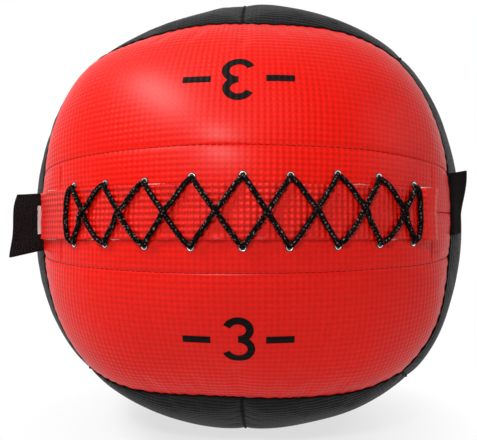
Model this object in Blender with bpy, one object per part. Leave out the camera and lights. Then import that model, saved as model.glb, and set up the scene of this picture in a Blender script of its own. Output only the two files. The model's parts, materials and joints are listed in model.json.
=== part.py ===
"""Wall ball: a 350 mm soft medicine ball with a laced filling slit and two webbing side tabs.

Run with blender --background --python part.py, or from the text editor. Lengths are in metres and
+Z is up. The origin is the middle of the flat patch that the ball rests on, and the laced face
looks along -Y.
"""

import math

import bmesh
import bpy
from mathutils import Matrix, Vector

# The cover's outer form
BALL_RADIUS = 0.175
CORNER_RISE = 0.0105
REST_PATCH_RADIUS = 0.045
PANEL_THICKNESS = 0.003
SEAM_DIP = 0.0026
SLIT_DIP = 0.0012
DIP_REACH = 0.008
SEAM_GAP = 0.0007
SLIT_GAP = 0.0010

# Clearances between pieces
PIECE_GAP = 0.0003
LAYER_GAP = 0.0006
CUT_OVERRUN = 0.004

# Where the seams run, as angles from the middle of the laced face
SIDE_SEAM_ANGLE = math.radians(60)
UPPER_SEAM_ANGLE = math.radians(49)
LOWER_SEAM_ANGLE = math.radians(46)
CORNER_ANGLE = math.radians(60)

# Closure: facing strips, cover strip, eyelets and lace
FACING_THICKNESS = 0.0012
FACING_EDGE_INSET = 0.0015
FACING_MARGIN = 0.0025
STRIP_THICKNESS = 0.0015
STRIP_WIDTH = 0.0324
STRIP_SEAM_CLEARANCE = 0.0043
STRIP_FREE_END_ANGLE = math.radians(47)
EYELET_COUNT = 9
EYELET_PITCH_ANGLE = math.radians(9.76)
EYELET_ROW_TURN = math.radians(0.75)
EYELET_STRIP_GAP = 0.0004
EYELET_ROW_BOW = 0.0032
CLOSURE_RISE = -0.0018
STITCH_ROW_SPACING = 0.0181
EYELET_BORE_RADIUS = 0.0017
EYELET_WALL = 0.0004
EYELET_SEAT_WIDTH = 0.0004
EYELET_FLANGE_WIDTH = 0.0006
EYELET_FLANGE_HEIGHT = 0.0008
LACE_RADIUS = 0.0017
LACE_BORE_CLEARANCE = 0.0005
LACE_TURN_LENGTH = 0.0028
LACE_END_BOW = 0.0085
LACE_HUMP_HALF_LENGTH = 0.0105

# Side tabs
WEBBING_WIDTH = 0.045
WEBBING_THICKNESS = 0.0014
TAB_LENGTH = 0.022
TAB_FOLD_RADIUS = 0.0019
TAB_ROOT_DEPTH = 0.0058
LEFT_TAB_RISE = -0.0065
RIGHT_TAB_RISE = 0.007
LEFT_TAB_LEANS = (math.radians(18), math.radians(30))
RIGHT_TAB_LEANS = (math.radians(70), math.radians(62))

# Inside: liner bag, filling and weight bag
LINER_THICKNESS = 0.001
LINER_SLACK = 0.0005
LINER_FRONT_CLEARANCE = 0.0013
LINER_RELIEF_MARGIN = 0.007
LINER_RELIEF_FADE = 0.012
LINER_MOUTH_ANGLE = math.radians(13)
WEIGHT_BAG_RADIUS = 0.047

# How the surfaces are divided. The shares are where the lines run along half a face.
LINE_SHARES = (0, 0.05, 0.16, 0.33, 0.5, 0.67, 0.84, 0.95, 1)
INSIDE_SEGMENTS = 20
INSIDE_RINGS = 10
ROUND_SEGMENTS = 16
EYELET_SIDES = 8
TAB_STATIONS = 5
TAB_FOLD_STEPS = 4
HALVINGS = 40
SMOOTH_ANGLE = math.radians(40)

# Sizes that follow from those above
BALL_CENTRE = Vector((0, 0, math.sqrt(BALL_RADIUS**2 - REST_PATCH_RADIUS**2)))
EYELET_BARREL_RADIUS = EYELET_BORE_RADIUS + EYELET_WALL
EYELET_SEAT_RADIUS = EYELET_BARREL_RADIUS + EYELET_SEAT_WIDTH
EYELET_FLANGE_RADIUS = EYELET_BARREL_RADIUS + EYELET_FLANGE_WIDTH
EYELET_END_RISE = STRIP_WIDTH / 2 + EYELET_STRIP_GAP + EYELET_FLANGE_RADIUS
EYELET_MIDDLE_RISE = EYELET_END_RISE + EYELET_ROW_BOW
STITCH_ROW_RISE = EYELET_MIDDLE_RISE + STITCH_ROW_SPACING
FACING_DEPTH = PANEL_THICKNESS + LAYER_GAP
EYELET_BACK_DEPTH = FACING_DEPTH + FACING_THICKNESS + LAYER_GAP
EYELET_DEPTH = EYELET_BACK_DEPTH + EYELET_FLANGE_HEIGHT
LACE_SQUEEZED_RADIUS = EYELET_BORE_RADIUS - LACE_BORE_CLEARANCE
LACE_SEAT_LIFT = EYELET_FLANGE_HEIGHT + LACE_SQUEEZED_RADIUS
LACE_LIFT = PIECE_GAP + STRIP_THICKNESS + PIECE_GAP + LACE_RADIUS
LACE_HUMP = 2 * LACE_RADIUS + PIECE_GAP
LINER_DEPTH = SEAM_DIP + PANEL_THICKNESS + LAYER_GAP + LINER_SLACK
FRONT_REACH = max(SEAM_DIP + TAB_ROOT_DEPTH, SLIT_DIP + EYELET_DEPTH)
LINER_RELIEF = FRONT_REACH + LINER_FRONT_CLEARANCE - LINER_DEPTH
LINER_RELIEF_RISE = STITCH_ROW_RISE + FACING_MARGIN + LINER_RELIEF_MARGIN

RED = (0.76, 0.022, 0.009)
BLACK = (0.021, 0.021, 0.023)
SWELL_SCALE = 27


def clear_scene():
    for thing in list(bpy.data.objects):
        bpy.data.objects.remove(thing)


def material(name, colour, roughness, metallic=0.0):
    made = bpy.data.materials.new(name)
    made.use_nodes = True
    shader = made.node_tree.nodes["Principled BSDF"]
    shader.inputs["Base Color"].default_value = (*colour, 1)
    shader.inputs["Roughness"].default_value = roughness
    shader.inputs["Metallic"].default_value = metallic
    return made


def add_object(name, shape, finish):
    """A new object from a bmesh, with its normals outwards and its round faces smooth."""
    bmesh.ops.recalc_face_normals(shape, faces=shape.faces)
    mesh = bpy.data.meshes.new(name)
    shape.to_mesh(mesh)
    shape.free()
    mesh.shade_smooth()
    mesh.set_sharp_from_angle(angle=SMOOTH_ANGLE)
    mesh.materials.append(finish)
    made = bpy.data.objects.new(name, mesh)
    bpy.context.scene.collection.objects.link(made)
    return made


def cut_away(piece, cutters):
    """Takes each cutter out of the piece."""
    for cutter in cutters:
        cut = piece.modifiers.new(cutter.name, "BOOLEAN")
        cut.operation = "DIFFERENCE"
        cut.object = cutter


def make_cutter(cutter):
    cutter.hide_render = True
    cutter.display_type = "WIRE"
    return cutter


# The cover's form. A direction is a unit vector from the ball's centre.


def swell(direction):
    """0 on the three middle planes and 1 where x, y and z are alike."""
    return SWELL_SCALE * (direction.x * direction.y * direction.z) ** 2


def surface_radius(direction, dip=0.0):
    """The cover's outer radius: fuller towards its eight corners, and flat where it rests."""
    radius = BALL_RADIUS + CORNER_RISE * swell(direction) - dip
    if direction.z < 0:
        radius = min(radius, BALL_CENTRE.z / -direction.z)
    return radius


def dip_at(distance, depth):
    """How far a seam draws the cover in, at a distance from it along the surface."""
    return depth * math.exp(-distance / DIP_REACH)


def place(direction, radius):
    return BALL_CENTRE + direction * radius


def angles_direction(longitude, latitude):
    """Longitude is counted from the laced face's middle towards +X, and latitude upwards."""
    return Vector(
        (
            math.sin(longitude) * math.cos(latitude),
            -math.cos(longitude) * math.cos(latitude),
            math.sin(latitude),
        )
    )


CORNER = Vector(
    (
        math.sin(CORNER_ANGLE) / math.sqrt(2),
        -math.cos(CORNER_ANGLE),
        math.sin(CORNER_ANGLE) / math.sqrt(2),
    )
)


def signed(direction, x_sign, y_sign, z_sign):
    return Vector((direction.x * x_sign, direction.y * y_sign, direction.z * z_sign))


def bowed_line(start, middle, end):
    """A line on the unit ball through three directions, for a share from -1 to 1."""

    def at(share):
        low, high = (1 - share) / 2, (1 + share) / 2
        mean = (start + end) / 2
        point = start * low + end * high + (middle - mean) * (1 - share**2)
        return point.normalized()

    return at


def side_seam(x_sign, y_sign):
    """Between a red face and a side face, upwards."""
    middle = signed(angles_direction(SIDE_SEAM_ANGLE, 0), x_sign, -y_sign, 1)
    low = signed(CORNER, x_sign, -y_sign, -1)
    return bowed_line(low, middle, signed(CORNER, x_sign, -y_sign, 1))


def top_seam(y_sign, z_sign):
    """Between a red face and the top or bottom face, towards +X."""
    angle = UPPER_SEAM_ANGLE if z_sign > 0 else LOWER_SEAM_ANGLE
    middle = signed(angles_direction(0, angle), 1, -y_sign, z_sign)
    left = signed(CORNER, -1, -y_sign, z_sign)
    return bowed_line(left, middle, signed(CORNER, 1, -y_sign, z_sign))


def edge_seam(x_sign, z_sign):
    """Between a side face and the top or bottom face, from front to back."""
    middle = Vector((x_sign, 0, z_sign)).normalized()
    front = signed(CORNER, x_sign, 1, z_sign)
    return bowed_line(front, middle, signed(CORNER, x_sign, -1, z_sign))


def middle_line(start, middle, end):
    """The straight line over a face's middle, in even steps, for a share from -1 to 1."""
    return lambda share: middle.slerp(end if share > 0 else start, abs(share))


def upper_half(line):
    """The stretch of a line from its middle to its end, for a share from 0 to 1."""
    return lambda share: line(share)


def lower_half(line):
    """The stretch of a line from its middle to its start, for a share from 0 to 1."""
    return lambda share: line(-share)


# Cover panels. Each is a patch whose long way spans a whole face and short way half of one.


def long_shares():
    return [-share for share in reversed(LINE_SHARES[1:])] + list(LINE_SHARES)


def patch_direction(inner, outer, low_end, high_end, long_share, short_share):
    """A point of a four-sided patch, blended from its edges."""
    across = (1 + long_share) / 2
    flat = inner(long_share) * (1 - short_share) + outer(long_share) * short_share
    ends = low_end(short_share) * (1 - across) + high_end(short_share) * across
    corners = (inner(-1) * (1 - across) + inner(1) * across) * (1 - short_share)
    corners += (outer(-1) * (1 - across) + outer(1) * across) * short_share
    return (flat + ends - corners).normalized()


def arc_length(first, second):
    return BALL_RADIUS * first.angle(second)


def patch_point(edges, inner_dip, long_share, short_share):
    """(direction, dip) at a place of a patch, the dip being the nearest seam's."""
    inner, outer, low_end, high_end = edges
    width = arc_length(low_end(short_share), high_end(short_share))
    height = arc_length(inner(long_share), outer(long_share))
    dips = (
        dip_at((1 - abs(long_share)) * width / 2, SEAM_DIP),
        dip_at((1 - short_share) * height, SEAM_DIP),
        dip_at(short_share * height, inner_dip),
    )
    return patch_direction(*edges, long_share, short_share), max(dips)


def panel_rows(edges, inner_dip, inner_gap):
    """Rows of places over a panel, held back from its edges by half of each gap."""
    inner, outer, low_end, high_end = edges
    rows = []
    for short in LINE_SHARES:
        row = []
        for long in long_shares():
            width = arc_length(low_end(short), high_end(short))
            height = arc_length(inner(long), outer(long))
            most_long = 1 - SEAM_GAP / width
            least_short, most_short = inner_gap / 2 / height, 1 - SEAM_GAP / 2 / height
            held_long = max(-most_long, min(most_long, long))
            held_short = max(least_short, min(most_short, short))
            row.append(patch_point(edges, inner_dip, held_long, held_short))
        rows.append(row)
    return rows


def add_shell(name, rows, outer_depth, thickness, finish):
    """A curved sheet whose outer face lies at a depth below the cover's outer surface."""
    shape = bmesh.new()
    sides = []
    for depth in (outer_depth, outer_depth + thickness):
        sides.append(
            [
                [shape.verts.new(place(d, surface_radius(d, dip) - depth)) for d, dip in row]
                for row in rows
            ]
        )
    row_count, column_count = len(rows), len(rows[0])
    for side in sides:
        for i in range(row_count - 1):
            for j in range(column_count - 1):
                shape.faces.new((side[i][j], side[i][j + 1], side[i + 1][j + 1], side[i + 1][j]))
    rim = [(0, j) for j in range(column_count)]
    rim += [(i, column_count - 1) for i in range(1, row_count)]
    rim += [(row_count - 1, j) for j in reversed(range(column_count - 1))]
    rim += [(i, 0) for i in reversed(range(1, row_count - 1))]
    for (i, j), (k, l) in zip(rim, rim[1:] + rim[:1]):
        shape.faces.new((sides[0][i][j], sides[0][k][l], sides[1][k][l], sides[1][i][j]))
    return add_object(name, shape, finish)


def red_face_edges(y_sign, z_sign):
    """The edges of a red half panel: slit or middle seam, outer seam, left end and right end."""
    left, right = side_seam(-1, y_sign), side_seam(1, y_sign)
    middle = middle_line(left(0), Vector((0, y_sign, 0)), right(0))
    half_of = upper_half if z_sign > 0 else lower_half
    return middle, top_seam(y_sign, z_sign), half_of(left), half_of(right)


def top_face_edges(x_sign, z_sign):
    front, back = top_seam(-1, z_sign), top_seam(1, z_sign)
    middle = middle_line(front(0), Vector((0, 0, z_sign)), back(0))
    half_of = upper_half if x_sign > 0 else lower_half
    return middle, edge_seam(x_sign, z_sign), half_of(front), half_of(back)


def side_face_edges(x_sign, y_sign):
    bottom, top = edge_seam(x_sign, -1), edge_seam(x_sign, 1)
    middle = middle_line(bottom(0), Vector((x_sign, 0, 0)), top(0))
    half_of = upper_half if y_sign > 0 else lower_half
    return middle, side_seam(x_sign, y_sign), half_of(bottom), half_of(top)


def add_panels(red, black):
    """The six faces in two halves each. Returns the panels by name."""
    panels = {}

    def add(name, edges, finish, inner_dip=SEAM_DIP, inner_gap=SEAM_GAP):
        rows = panel_rows(edges, inner_dip, inner_gap)
        panels[name] = add_shell(name, rows, 0, PANEL_THICKNESS, finish)

    for half, sign in (("upper", 1), ("lower", -1)):
        add(f"front_panel_{half}", red_face_edges(-1, sign), red, SLIT_DIP, SLIT_GAP)
        add(f"back_panel_{half}", red_face_edges(1, sign), red)
    for half, sign in (("left", -1), ("right", 1)):
        add(f"top_panel_{half}", top_face_edges(sign, 1), black)
        add(f"bottom_panel_{half}", top_face_edges(sign, -1), black)
    for half, sign in (("front", -1), ("rear", 1)):
        add(f"left_panel_{half}", side_face_edges(-1, sign), black)
        add(f"right_panel_{half}", side_face_edges(1, sign), black)
    return panels


# Closure. Places on the laced face are a longitude and a rise, the distance up from the slit.


def face_direction(longitude, rise):
    return angles_direction(longitude, rise / BALL_RADIUS)


def face_dip(longitude, rise):
    to_seam = BALL_RADIUS * max(0, SIDE_SEAM_ANGLE - abs(longitude))
    return max(dip_at(abs(rise), SLIT_DIP), dip_at(to_seam, SEAM_DIP))


def on_face(longitude, rise, lift):
    """A point at a height over the laced face."""
    direction = face_direction(longitude, rise)
    return place(direction, surface_radius(direction, face_dip(longitude, rise)) + lift)


def eyelet_places():
    """(name, longitude, rise) of each eyelet, along the upper row and then the lower."""
    half_count = (EYELET_COUNT - 1) / 2
    for row, z_sign in (("upper", 1), ("lower", -1)):
        for number in range(EYELET_COUNT):
            step = number - half_count
            bowed = EYELET_ROW_BOW * (1 - (step / half_count) ** 2)
            rise = CLOSURE_RISE + z_sign * (EYELET_END_RISE + bowed)
            longitude = EYELET_ROW_TURN + step * EYELET_PITCH_ANGLE
            yield f"eyelet_{row}_{number + 1}", longitude, rise


def face_rows(z_sign, rises, longitudes):
    """Rows of places on one half of the laced face, parallel to its panel's own lines."""
    edges = red_face_edges(-1, z_sign)
    rows = []
    for rise in rises:
        row = []
        for longitude in longitudes:
            long_share = longitude / SIDE_SEAM_ANGLE
            height = arc_length(edges[0](long_share), edges[1](long_share))
            row.append(patch_point(edges, SLIT_DIP, long_share, rise / height))
        rows.append(row)
    return rows


def add_facings(finish):
    """The inner strips that the eyelets are clenched through, one along each lip of the slit."""
    facings = {}
    rises = (FACING_EDGE_INSET, EYELET_MIDDLE_RISE, STITCH_ROW_RISE + FACING_MARGIN)
    end = SIDE_SEAM_ANGLE - FACING_EDGE_INSET / BALL_RADIUS
    longitudes = [max(-end, min(end, s * SIDE_SEAM_ANGLE)) for s in long_shares()]
    for half, z_sign in (("upper", 1), ("lower", -1)):
        rows = face_rows(z_sign, rises, longitudes)
        name = f"{half}_eyelet_facing"
        facings[half] = add_shell(name, rows, FACING_DEPTH, FACING_THICKNESS, finish)
    return facings


def add_strip(finish):
    """The strip over the slit, from the left seam to its free right end."""
    start = -SIDE_SEAM_ANGLE + STRIP_SEAM_CLEARANCE / BALL_RADIUS
    longitudes = [s * SIDE_SEAM_ANGLE for s in long_shares()]
    longitudes = [lon for lon in longitudes if start < lon < STRIP_FREE_END_ANGLE]
    longitudes = [start, *longitudes, STRIP_FREE_END_ANGLE]
    reach_down = STRIP_WIDTH / 2 - CLOSURE_RISE
    reach_up = STRIP_WIDTH / 2 + CLOSURE_RISE
    below = face_rows(-1, (reach_down, reach_down / 2), longitudes)
    above = face_rows(1, (0, reach_up / 2, reach_up), longitudes)
    top = PIECE_GAP + STRIP_THICKNESS
    return add_shell("closure_cover_strip", below + above, -top, STRIP_THICKNESS, finish)


def add_eyelets(finish, panels, facings):
    """A rolled flange outside, a barrel through panel and facing, and a clenched back."""
    profile = (
        (EYELET_BORE_RADIUS, -EYELET_DEPTH),
        (EYELET_BORE_RADIUS, PIECE_GAP + EYELET_FLANGE_HEIGHT / 2),
        (EYELET_BARREL_RADIUS, PIECE_GAP + EYELET_FLANGE_HEIGHT),
        (EYELET_FLANGE_RADIUS, PIECE_GAP + EYELET_FLANGE_HEIGHT / 3),
        (EYELET_SEAT_RADIUS, PIECE_GAP),
        (EYELET_BARREL_RADIUS, PIECE_GAP),
        (EYELET_BARREL_RADIUS, -EYELET_BACK_DEPTH),
        (EYELET_SEAT_RADIUS, -EYELET_BACK_DEPTH - EYELET_FLANGE_HEIGHT / 2),
    )
    for name, longitude, rise in eyelet_places():
        direction = face_direction(longitude, rise)
        seat = on_face(longitude, rise, 0)
        turn = direction.to_track_quat("Z", "Y").to_matrix().to_4x4()
        shape = bmesh.new()
        rings = []
        for step in range(EYELET_SIDES):
            angle = 2 * math.pi * step / EYELET_SIDES
            spin = Matrix.Rotation(angle, 4, "Z")
            rings.append([shape.verts.new(spin @ Vector((r, 0, h))) for r, h in profile])
        for ring, following in zip(rings, rings[1:] + rings[:1]):
            for i in range(len(profile)):
                j = (i + 1) % len(profile)
                shape.faces.new((ring[i], ring[j], following[j], following[i]))
        eyelet = add_object(name, shape, finish)
        eyelet.matrix_world = Matrix.Translation(seat) @ turn
        half = "upper" if rise > 0 else "lower"
        shape = bmesh.new()
        bmesh.ops.create_cone(
            shape,
            cap_ends=True,
            segments=EYELET_SIDES,
            radius1=EYELET_BARREL_RADIUS + PIECE_GAP,
            radius2=EYELET_BARREL_RADIUS + PIECE_GAP,
            depth=2 * (EYELET_BACK_DEPTH + CUT_OVERRUN),
        )
        hole = make_cutter(add_object(f"{name}_hole", shape, finish))
        hole.matrix_world = Matrix.Translation(seat) @ turn
        cut_away(panels[f"front_panel_{half}"], [hole])
        cut_away(facings[half], [hole])


def lace_stations():
    """The eyelets in the lace's order: out along one zigzag and back along the other."""
    places = {name: (longitude, rise) for name, longitude, rise in eyelet_places()}
    order = [("upper", "lower")[n % 2] + f"_{n + 1}" for n in range(EYELET_COUNT)]
    order += [("upper", "lower")[(n + 1) % 2] + f"_{n + 1}" for n in reversed(range(EYELET_COUNT))]
    return [places[f"eyelet_{key}"] for key in order]


def lace_leg(start, end):
    """(longitude, rise, lift, radius) along the lace from one eyelet to the next."""
    (start_lon, start_rise), (end_lon, end_rise) = start, end
    is_end_bar = start_lon == end_lon
    across = BALL_RADIUS * (end_lon - start_lon)
    length = math.hypot(across, end_rise - start_rise)
    bow = math.copysign(LACE_END_BOW, start_lon) if is_end_bar else 0.0
    passes_over = not is_end_bar and (end_rise > start_rise) == (end_lon > start_lon)
    if start_lon + end_lon > 2 * EYELET_PITCH_ANGLE:
        passes_over = not is_end_bar and not passes_over
    from_ends = (LACE_TURN_LENGTH, 2 * LACE_TURN_LENGTH)
    near_middle = (LACE_HUMP_HALF_LENGTH, LACE_HUMP_HALF_LENGTH / 3)
    distances = [0, *from_ends]
    distances += [length / 2 - step for step in near_middle] + [length / 2]
    distances += [length - d for d in reversed(distances[1:-1])]
    points = []
    for distance in distances:
        share = distance / length
        longitude = start_lon + (end_lon - start_lon) * share
        longitude += bow * math.sin(math.pi * share) / BALL_RADIUS
        rise = start_rise + (end_rise - start_rise) * share
        lift, radius = LACE_LIFT, LACE_RADIUS
        if distance == 0:
            lift, radius = LACE_SEAT_LIFT, LACE_SQUEEZED_RADIUS
        off_middle = abs(distance - length / 2)
        if passes_over and off_middle < LACE_HUMP_HALF_LENGTH:
            lift += LACE_HUMP * math.cos(math.pi / 2 * off_middle / LACE_HUMP_HALF_LENGTH) ** 2
        points.append((longitude, rise, lift, radius))
    return points


def add_lace(finish):
    """One round cord laced in crosses over the strip, closed by a bar at each end."""
    stations = lace_stations()
    route = []
    for start, end in zip(stations, stations[1:] + stations[:1]):
        route += lace_leg(start, end)
    curve = bpy.data.curves.new("lace", "CURVE")
    curve.dimensions = "3D"
    curve.bevel_depth = LACE_RADIUS
    curve.bevel_resolution = 2
    spline = curve.splines.new("POLY")
    spline.points.add(len(route) - 1)
    spline.use_cyclic_u = True
    for point, (longitude, rise, lift, radius) in zip(spline.points, route):
        point.co = (*on_face(longitude, rise, lift), 1)
        point.radius = radius / LACE_RADIUS
    curve.materials.append(finish)
    lace = bpy.data.objects.new("lace", curve)
    bpy.context.scene.collection.objects.link(lace)


# Side tabs. Each swings about the straight line where it leaves its seam.


def seam_height_point(seam, height):
    """Where a side seam's valley passes a height over the ball's centre."""
    low, high = -1.0, 1.0
    for _ in range(HALVINGS):
        share = (low + high) / 2
        direction = seam(share)
        point = direction * surface_radius(direction, SEAM_DIP)
        if point.z < height:
            low = share
        else:
            high = share
    return BALL_CENTRE + point


def tab_frame(x_sign, rise):
    """The tab's hinge line as a matrix: Z along it, X outwards and Y towards the laced face."""
    seam = side_seam(x_sign, -1)
    low = seam_height_point(seam, rise - WEBBING_WIDTH / 2)
    high = seam_height_point(seam, rise + WEBBING_WIDTH / 2)
    crown = seam_height_point(seam, rise)
    along = (high - low).normalized()
    outwards = crown - BALL_CENTRE
    outwards = (outwards - along * outwards.dot(along)).normalized()
    forwards = along.cross(outwards)
    centre = (low + high) / 2
    centre += outwards * ((crown - centre).dot(outwards) + WEBBING_THICKNESS + PIECE_GAP)
    turn = Matrix((outwards, forwards, along)).transposed().to_4x4()
    return Matrix.Translation(centre) @ turn


def add_tab(side, x_sign, rise, leans, finish, crossed):
    """A loop of webbing pressed flat, with both ends sewn in the seam between crossed pieces.

    leans are how far it leans back from straight out, at its low and its high edge.
    """
    frame = tab_frame(x_sign, rise)
    half_thickness = WEBBING_THICKNESS
    outline = []
    for step in range(TAB_FOLD_STEPS + 1):
        angle = math.pi / 2 + math.pi * step / TAB_FOLD_STEPS
        outline.append((half_thickness * math.cos(angle), half_thickness * math.sin(angle)))
    fold_centre = TAB_LENGTH - TAB_FOLD_RADIUS
    outline.append((fold_centre - TAB_FOLD_RADIUS, -half_thickness))
    for step in range(TAB_FOLD_STEPS + 1):
        angle = -math.pi / 2 + math.pi * step / TAB_FOLD_STEPS
        outline.append(
            (
                fold_centre + TAB_FOLD_RADIUS * math.cos(angle),
                TAB_FOLD_RADIUS * math.sin(angle),
            )
        )
    outline.append((fold_centre - TAB_FOLD_RADIUS, half_thickness))
    shape = bmesh.new()
    sections = []
    for station in range(TAB_STATIONS + 1):
        share = station / TAB_STATIONS
        lean = leans[0] + (leans[1] - leans[0]) * share
        turn = Matrix.Rotation(lean * x_sign, 4, "Z")
        height = WEBBING_WIDTH * (share - 1 / 2)
        sections.append(
            [shape.verts.new(turn @ Vector((x, y, 0)) + Vector((0, 0, height))) for x, y in outline]
        )
    for low, high in zip(sections, sections[1:]):
        for i in range(len(outline)):
            j = (i + 1) % len(outline)
            shape.faces.new((low[i], low[j], high[j], high[i]))
    shape.faces.new(sections[0])
    shape.faces.new(sections[-1])
    tab = add_object(f"{side}_tab", shape, finish)
    tab.matrix_world = frame
    outer_end = -half_thickness - PIECE_GAP
    root = add_seam_block(f"{side}_tab_root", outer_end, 0, TAB_ROOT_DEPTH, finish)
    root.matrix_world = frame
    overrun = TAB_ROOT_DEPTH + 2 * CUT_OVERRUN
    slot = add_seam_block(f"{side}_tab_slot", CUT_OVERRUN, PIECE_GAP, overrun, finish)
    slot.matrix_world = frame
    make_cutter(slot)
    for piece in crossed:
        cut_away(piece, [slot])


def add_seam_block(name, outer_end, margin, depth, finish):
    """A block in a tab's frame, of two plies' thickness, reaching inwards from outer_end."""
    half_width = WEBBING_WIDTH / 2 + margin
    half_thickness = WEBBING_THICKNESS + margin
    shape = bmesh.new()
    bmesh.ops.create_cube(shape, size=2)
    for corner in shape.verts:
        x, y, z = corner.co
        inwards = depth if x < 0 else 0
        corner.co = (outer_end - inwards, y * half_thickness, z * half_width)
    return add_object(name, shape, finish)


# Inside the cover.


def inside_radius(direction, depth):
    """A radius below the cover, with room for the facings, eyelets and tab ends at the front."""
    radius = surface_radius(direction) - depth
    rise = abs(direction.z) * BALL_RADIUS
    past_band = max(0, rise - LINER_RELIEF_RISE)
    past_side = max(0, direction.y * BALL_RADIUS + LINER_RELIEF_RISE)
    share = max(0, 1 - math.hypot(past_band, past_side) / LINER_RELIEF_FADE)
    return radius - LINER_RELIEF * share


def add_inside_ball(name, depth, finish):
    """A closed ball that follows the cover at a depth."""
    shape = bmesh.new()
    bmesh.ops.create_uvsphere(
        shape, u_segments=INSIDE_SEGMENTS, v_segments=INSIDE_RINGS, radius=1
    )
    for corner in shape.verts:
        direction = corner.co.normalized()
        corner.co = place(direction, inside_radius(direction, depth))
    bmesh.ops.triangulate(shape, faces=shape.faces, quad_method="FIXED")
    return add_object(name, shape, finish)


def add_weight_ball(name, radius, finish):
    shape = bmesh.new()
    rings = ROUND_SEGMENTS // 2
    bmesh.ops.create_uvsphere(shape, u_segments=ROUND_SEGMENTS, v_segments=rings, radius=radius)
    bmesh.ops.translate(shape, verts=shape.verts, vec=BALL_CENTRE)
    return add_object(name, shape, finish)


def add_inside(cotton, fibre, sandbag):
    """Liner bag with its mouth behind the slit, the filling in two halves, and the weight bag."""
    inner_depth = LINER_DEPTH + LINER_THICKNESS
    liner = add_inside_ball("liner_bag", LINER_DEPTH, cotton)
    hollow = make_cutter(add_inside_ball("liner_hollow", inner_depth, cotton))
    shape = bmesh.new()
    mouth_radius = BALL_RADIUS * math.tan(LINER_MOUTH_ANGLE)
    bmesh.ops.create_cone(
        shape,
        cap_ends=True,
        segments=ROUND_SEGMENTS,
        radius1=mouth_radius,
        radius2=mouth_radius,
        depth=BALL_RADIUS,
    )
    mouth = make_cutter(add_object("liner_mouth", shape, cotton))
    mouth.location = BALL_CENTRE + Vector((0, -BALL_RADIUS, 0))
    mouth.rotation_euler = (math.pi / 2, 0, 0)
    cut_away(liner, [hollow, mouth])
    pocket = make_cutter(add_weight_ball("weight_pocket", WEIGHT_BAG_RADIUS + PIECE_GAP, fibre))
    for half, z_sign in (("upper", 1), ("lower", -1)):
        filling = add_inside_ball(f"filling_{half}", inner_depth + LAYER_GAP, fibre)
        shape = bmesh.new()
        shape.from_mesh(filling.data)
        split = BALL_CENTRE + Vector((0, 0, z_sign * PIECE_GAP / 2))
        everything = shape.verts[:] + shape.edges[:] + shape.faces[:]
        cut = bmesh.ops.bisect_plane(
            shape, geom=everything, plane_co=split, plane_no=(0, 0, -z_sign), clear_outer=True
        )
        rim = [part for part in cut["geom_cut"] if isinstance(part, bmesh.types.BMEdge)]
        bmesh.ops.contextual_create(shape, geom=rim)
        bmesh.ops.recalc_face_normals(shape, faces=shape.faces)
        shape.to_mesh(filling.data)
        shape.free()
        cut_away(filling, [pocket])
    add_weight_ball("weight_bag", WEIGHT_BAG_RADIUS, sandbag)


def build():
    clear_scene()
    red = material("red_vinyl", RED, 0.42)
    black = material("black_vinyl", BLACK, 0.45)
    webbing = material("black_webbing", BLACK, 0.8)
    braid = material("black_braid", BLACK, 0.7)
    nickel = material("nickel", (0.72, 0.71, 0.69), 0.25, metallic=1.0)
    backing = material("backing_fabric", (0.62, 0.60, 0.56), 0.9)
    cotton = material("liner_cotton", (0.70, 0.68, 0.62), 0.9)
    fibre = material("textile_fibre", (0.45, 0.45, 0.46), 0.95)
    sandbag = material("weight_bag_canvas", (0.30, 0.27, 0.22), 0.9)
    panels = add_panels(red, black)
    facings = add_facings(backing)
    add_strip(red)
    add_eyelets(nickel, panels, facings)
    add_lace(braid)
    front = [panels["front_panel_upper"], panels["front_panel_lower"], *facings.values()]
    left = [*front, panels["left_panel_front"]]
    right = [*front, panels["right_panel_front"]]
    add_tab("left", -1, LEFT_TAB_RISE, LEFT_TAB_LEANS, webbing, left)
    add_tab("right", 1, RIGHT_TAB_RISE, RIGHT_TAB_LEANS, webbing, right)
    add_inside(cotton, fibre, sandbag)


build()
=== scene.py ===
import json
import math

import bmesh
import bpy
import numpy as np
from mathutils import Matrix, Vector, noise


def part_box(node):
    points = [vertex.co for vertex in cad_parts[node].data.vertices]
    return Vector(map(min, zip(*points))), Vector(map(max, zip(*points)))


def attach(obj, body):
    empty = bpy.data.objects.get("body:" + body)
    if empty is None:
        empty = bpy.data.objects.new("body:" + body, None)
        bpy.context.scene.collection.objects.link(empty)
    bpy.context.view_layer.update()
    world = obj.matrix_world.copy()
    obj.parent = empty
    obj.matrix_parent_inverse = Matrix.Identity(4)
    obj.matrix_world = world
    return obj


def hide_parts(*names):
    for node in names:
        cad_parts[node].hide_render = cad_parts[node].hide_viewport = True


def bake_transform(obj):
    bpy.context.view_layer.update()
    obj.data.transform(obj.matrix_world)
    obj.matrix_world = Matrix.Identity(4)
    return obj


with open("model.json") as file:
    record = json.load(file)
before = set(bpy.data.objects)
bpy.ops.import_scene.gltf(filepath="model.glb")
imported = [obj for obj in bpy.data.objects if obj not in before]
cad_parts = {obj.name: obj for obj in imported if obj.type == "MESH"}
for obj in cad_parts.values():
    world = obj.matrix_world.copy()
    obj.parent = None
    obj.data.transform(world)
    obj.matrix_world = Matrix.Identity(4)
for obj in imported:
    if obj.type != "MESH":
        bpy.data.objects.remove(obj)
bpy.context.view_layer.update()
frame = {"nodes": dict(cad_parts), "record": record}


# Weight bag. A round canvas bag of sand lies in the middle of the ball and brings it to 3 kg. Its
# two canvas discs are sewn together round the rim, and the sand lets it sag into soft dents.

BAG_RIM_SHARE = 0.07
BAG_DENT = 0.0022
BAG_DENT_SIZE = 0.02
SAME_PLACE = 1e-6


def deselect():
    bpy.ops.object.select_all(action="DESELECT")


def work_on(piece):
    """Makes a piece the only one selected, and the active one."""
    deselect()
    piece.hide_viewport = False
    piece.select_set(True)
    bpy.context.view_layer.objects.active = piece
    return piece


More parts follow.
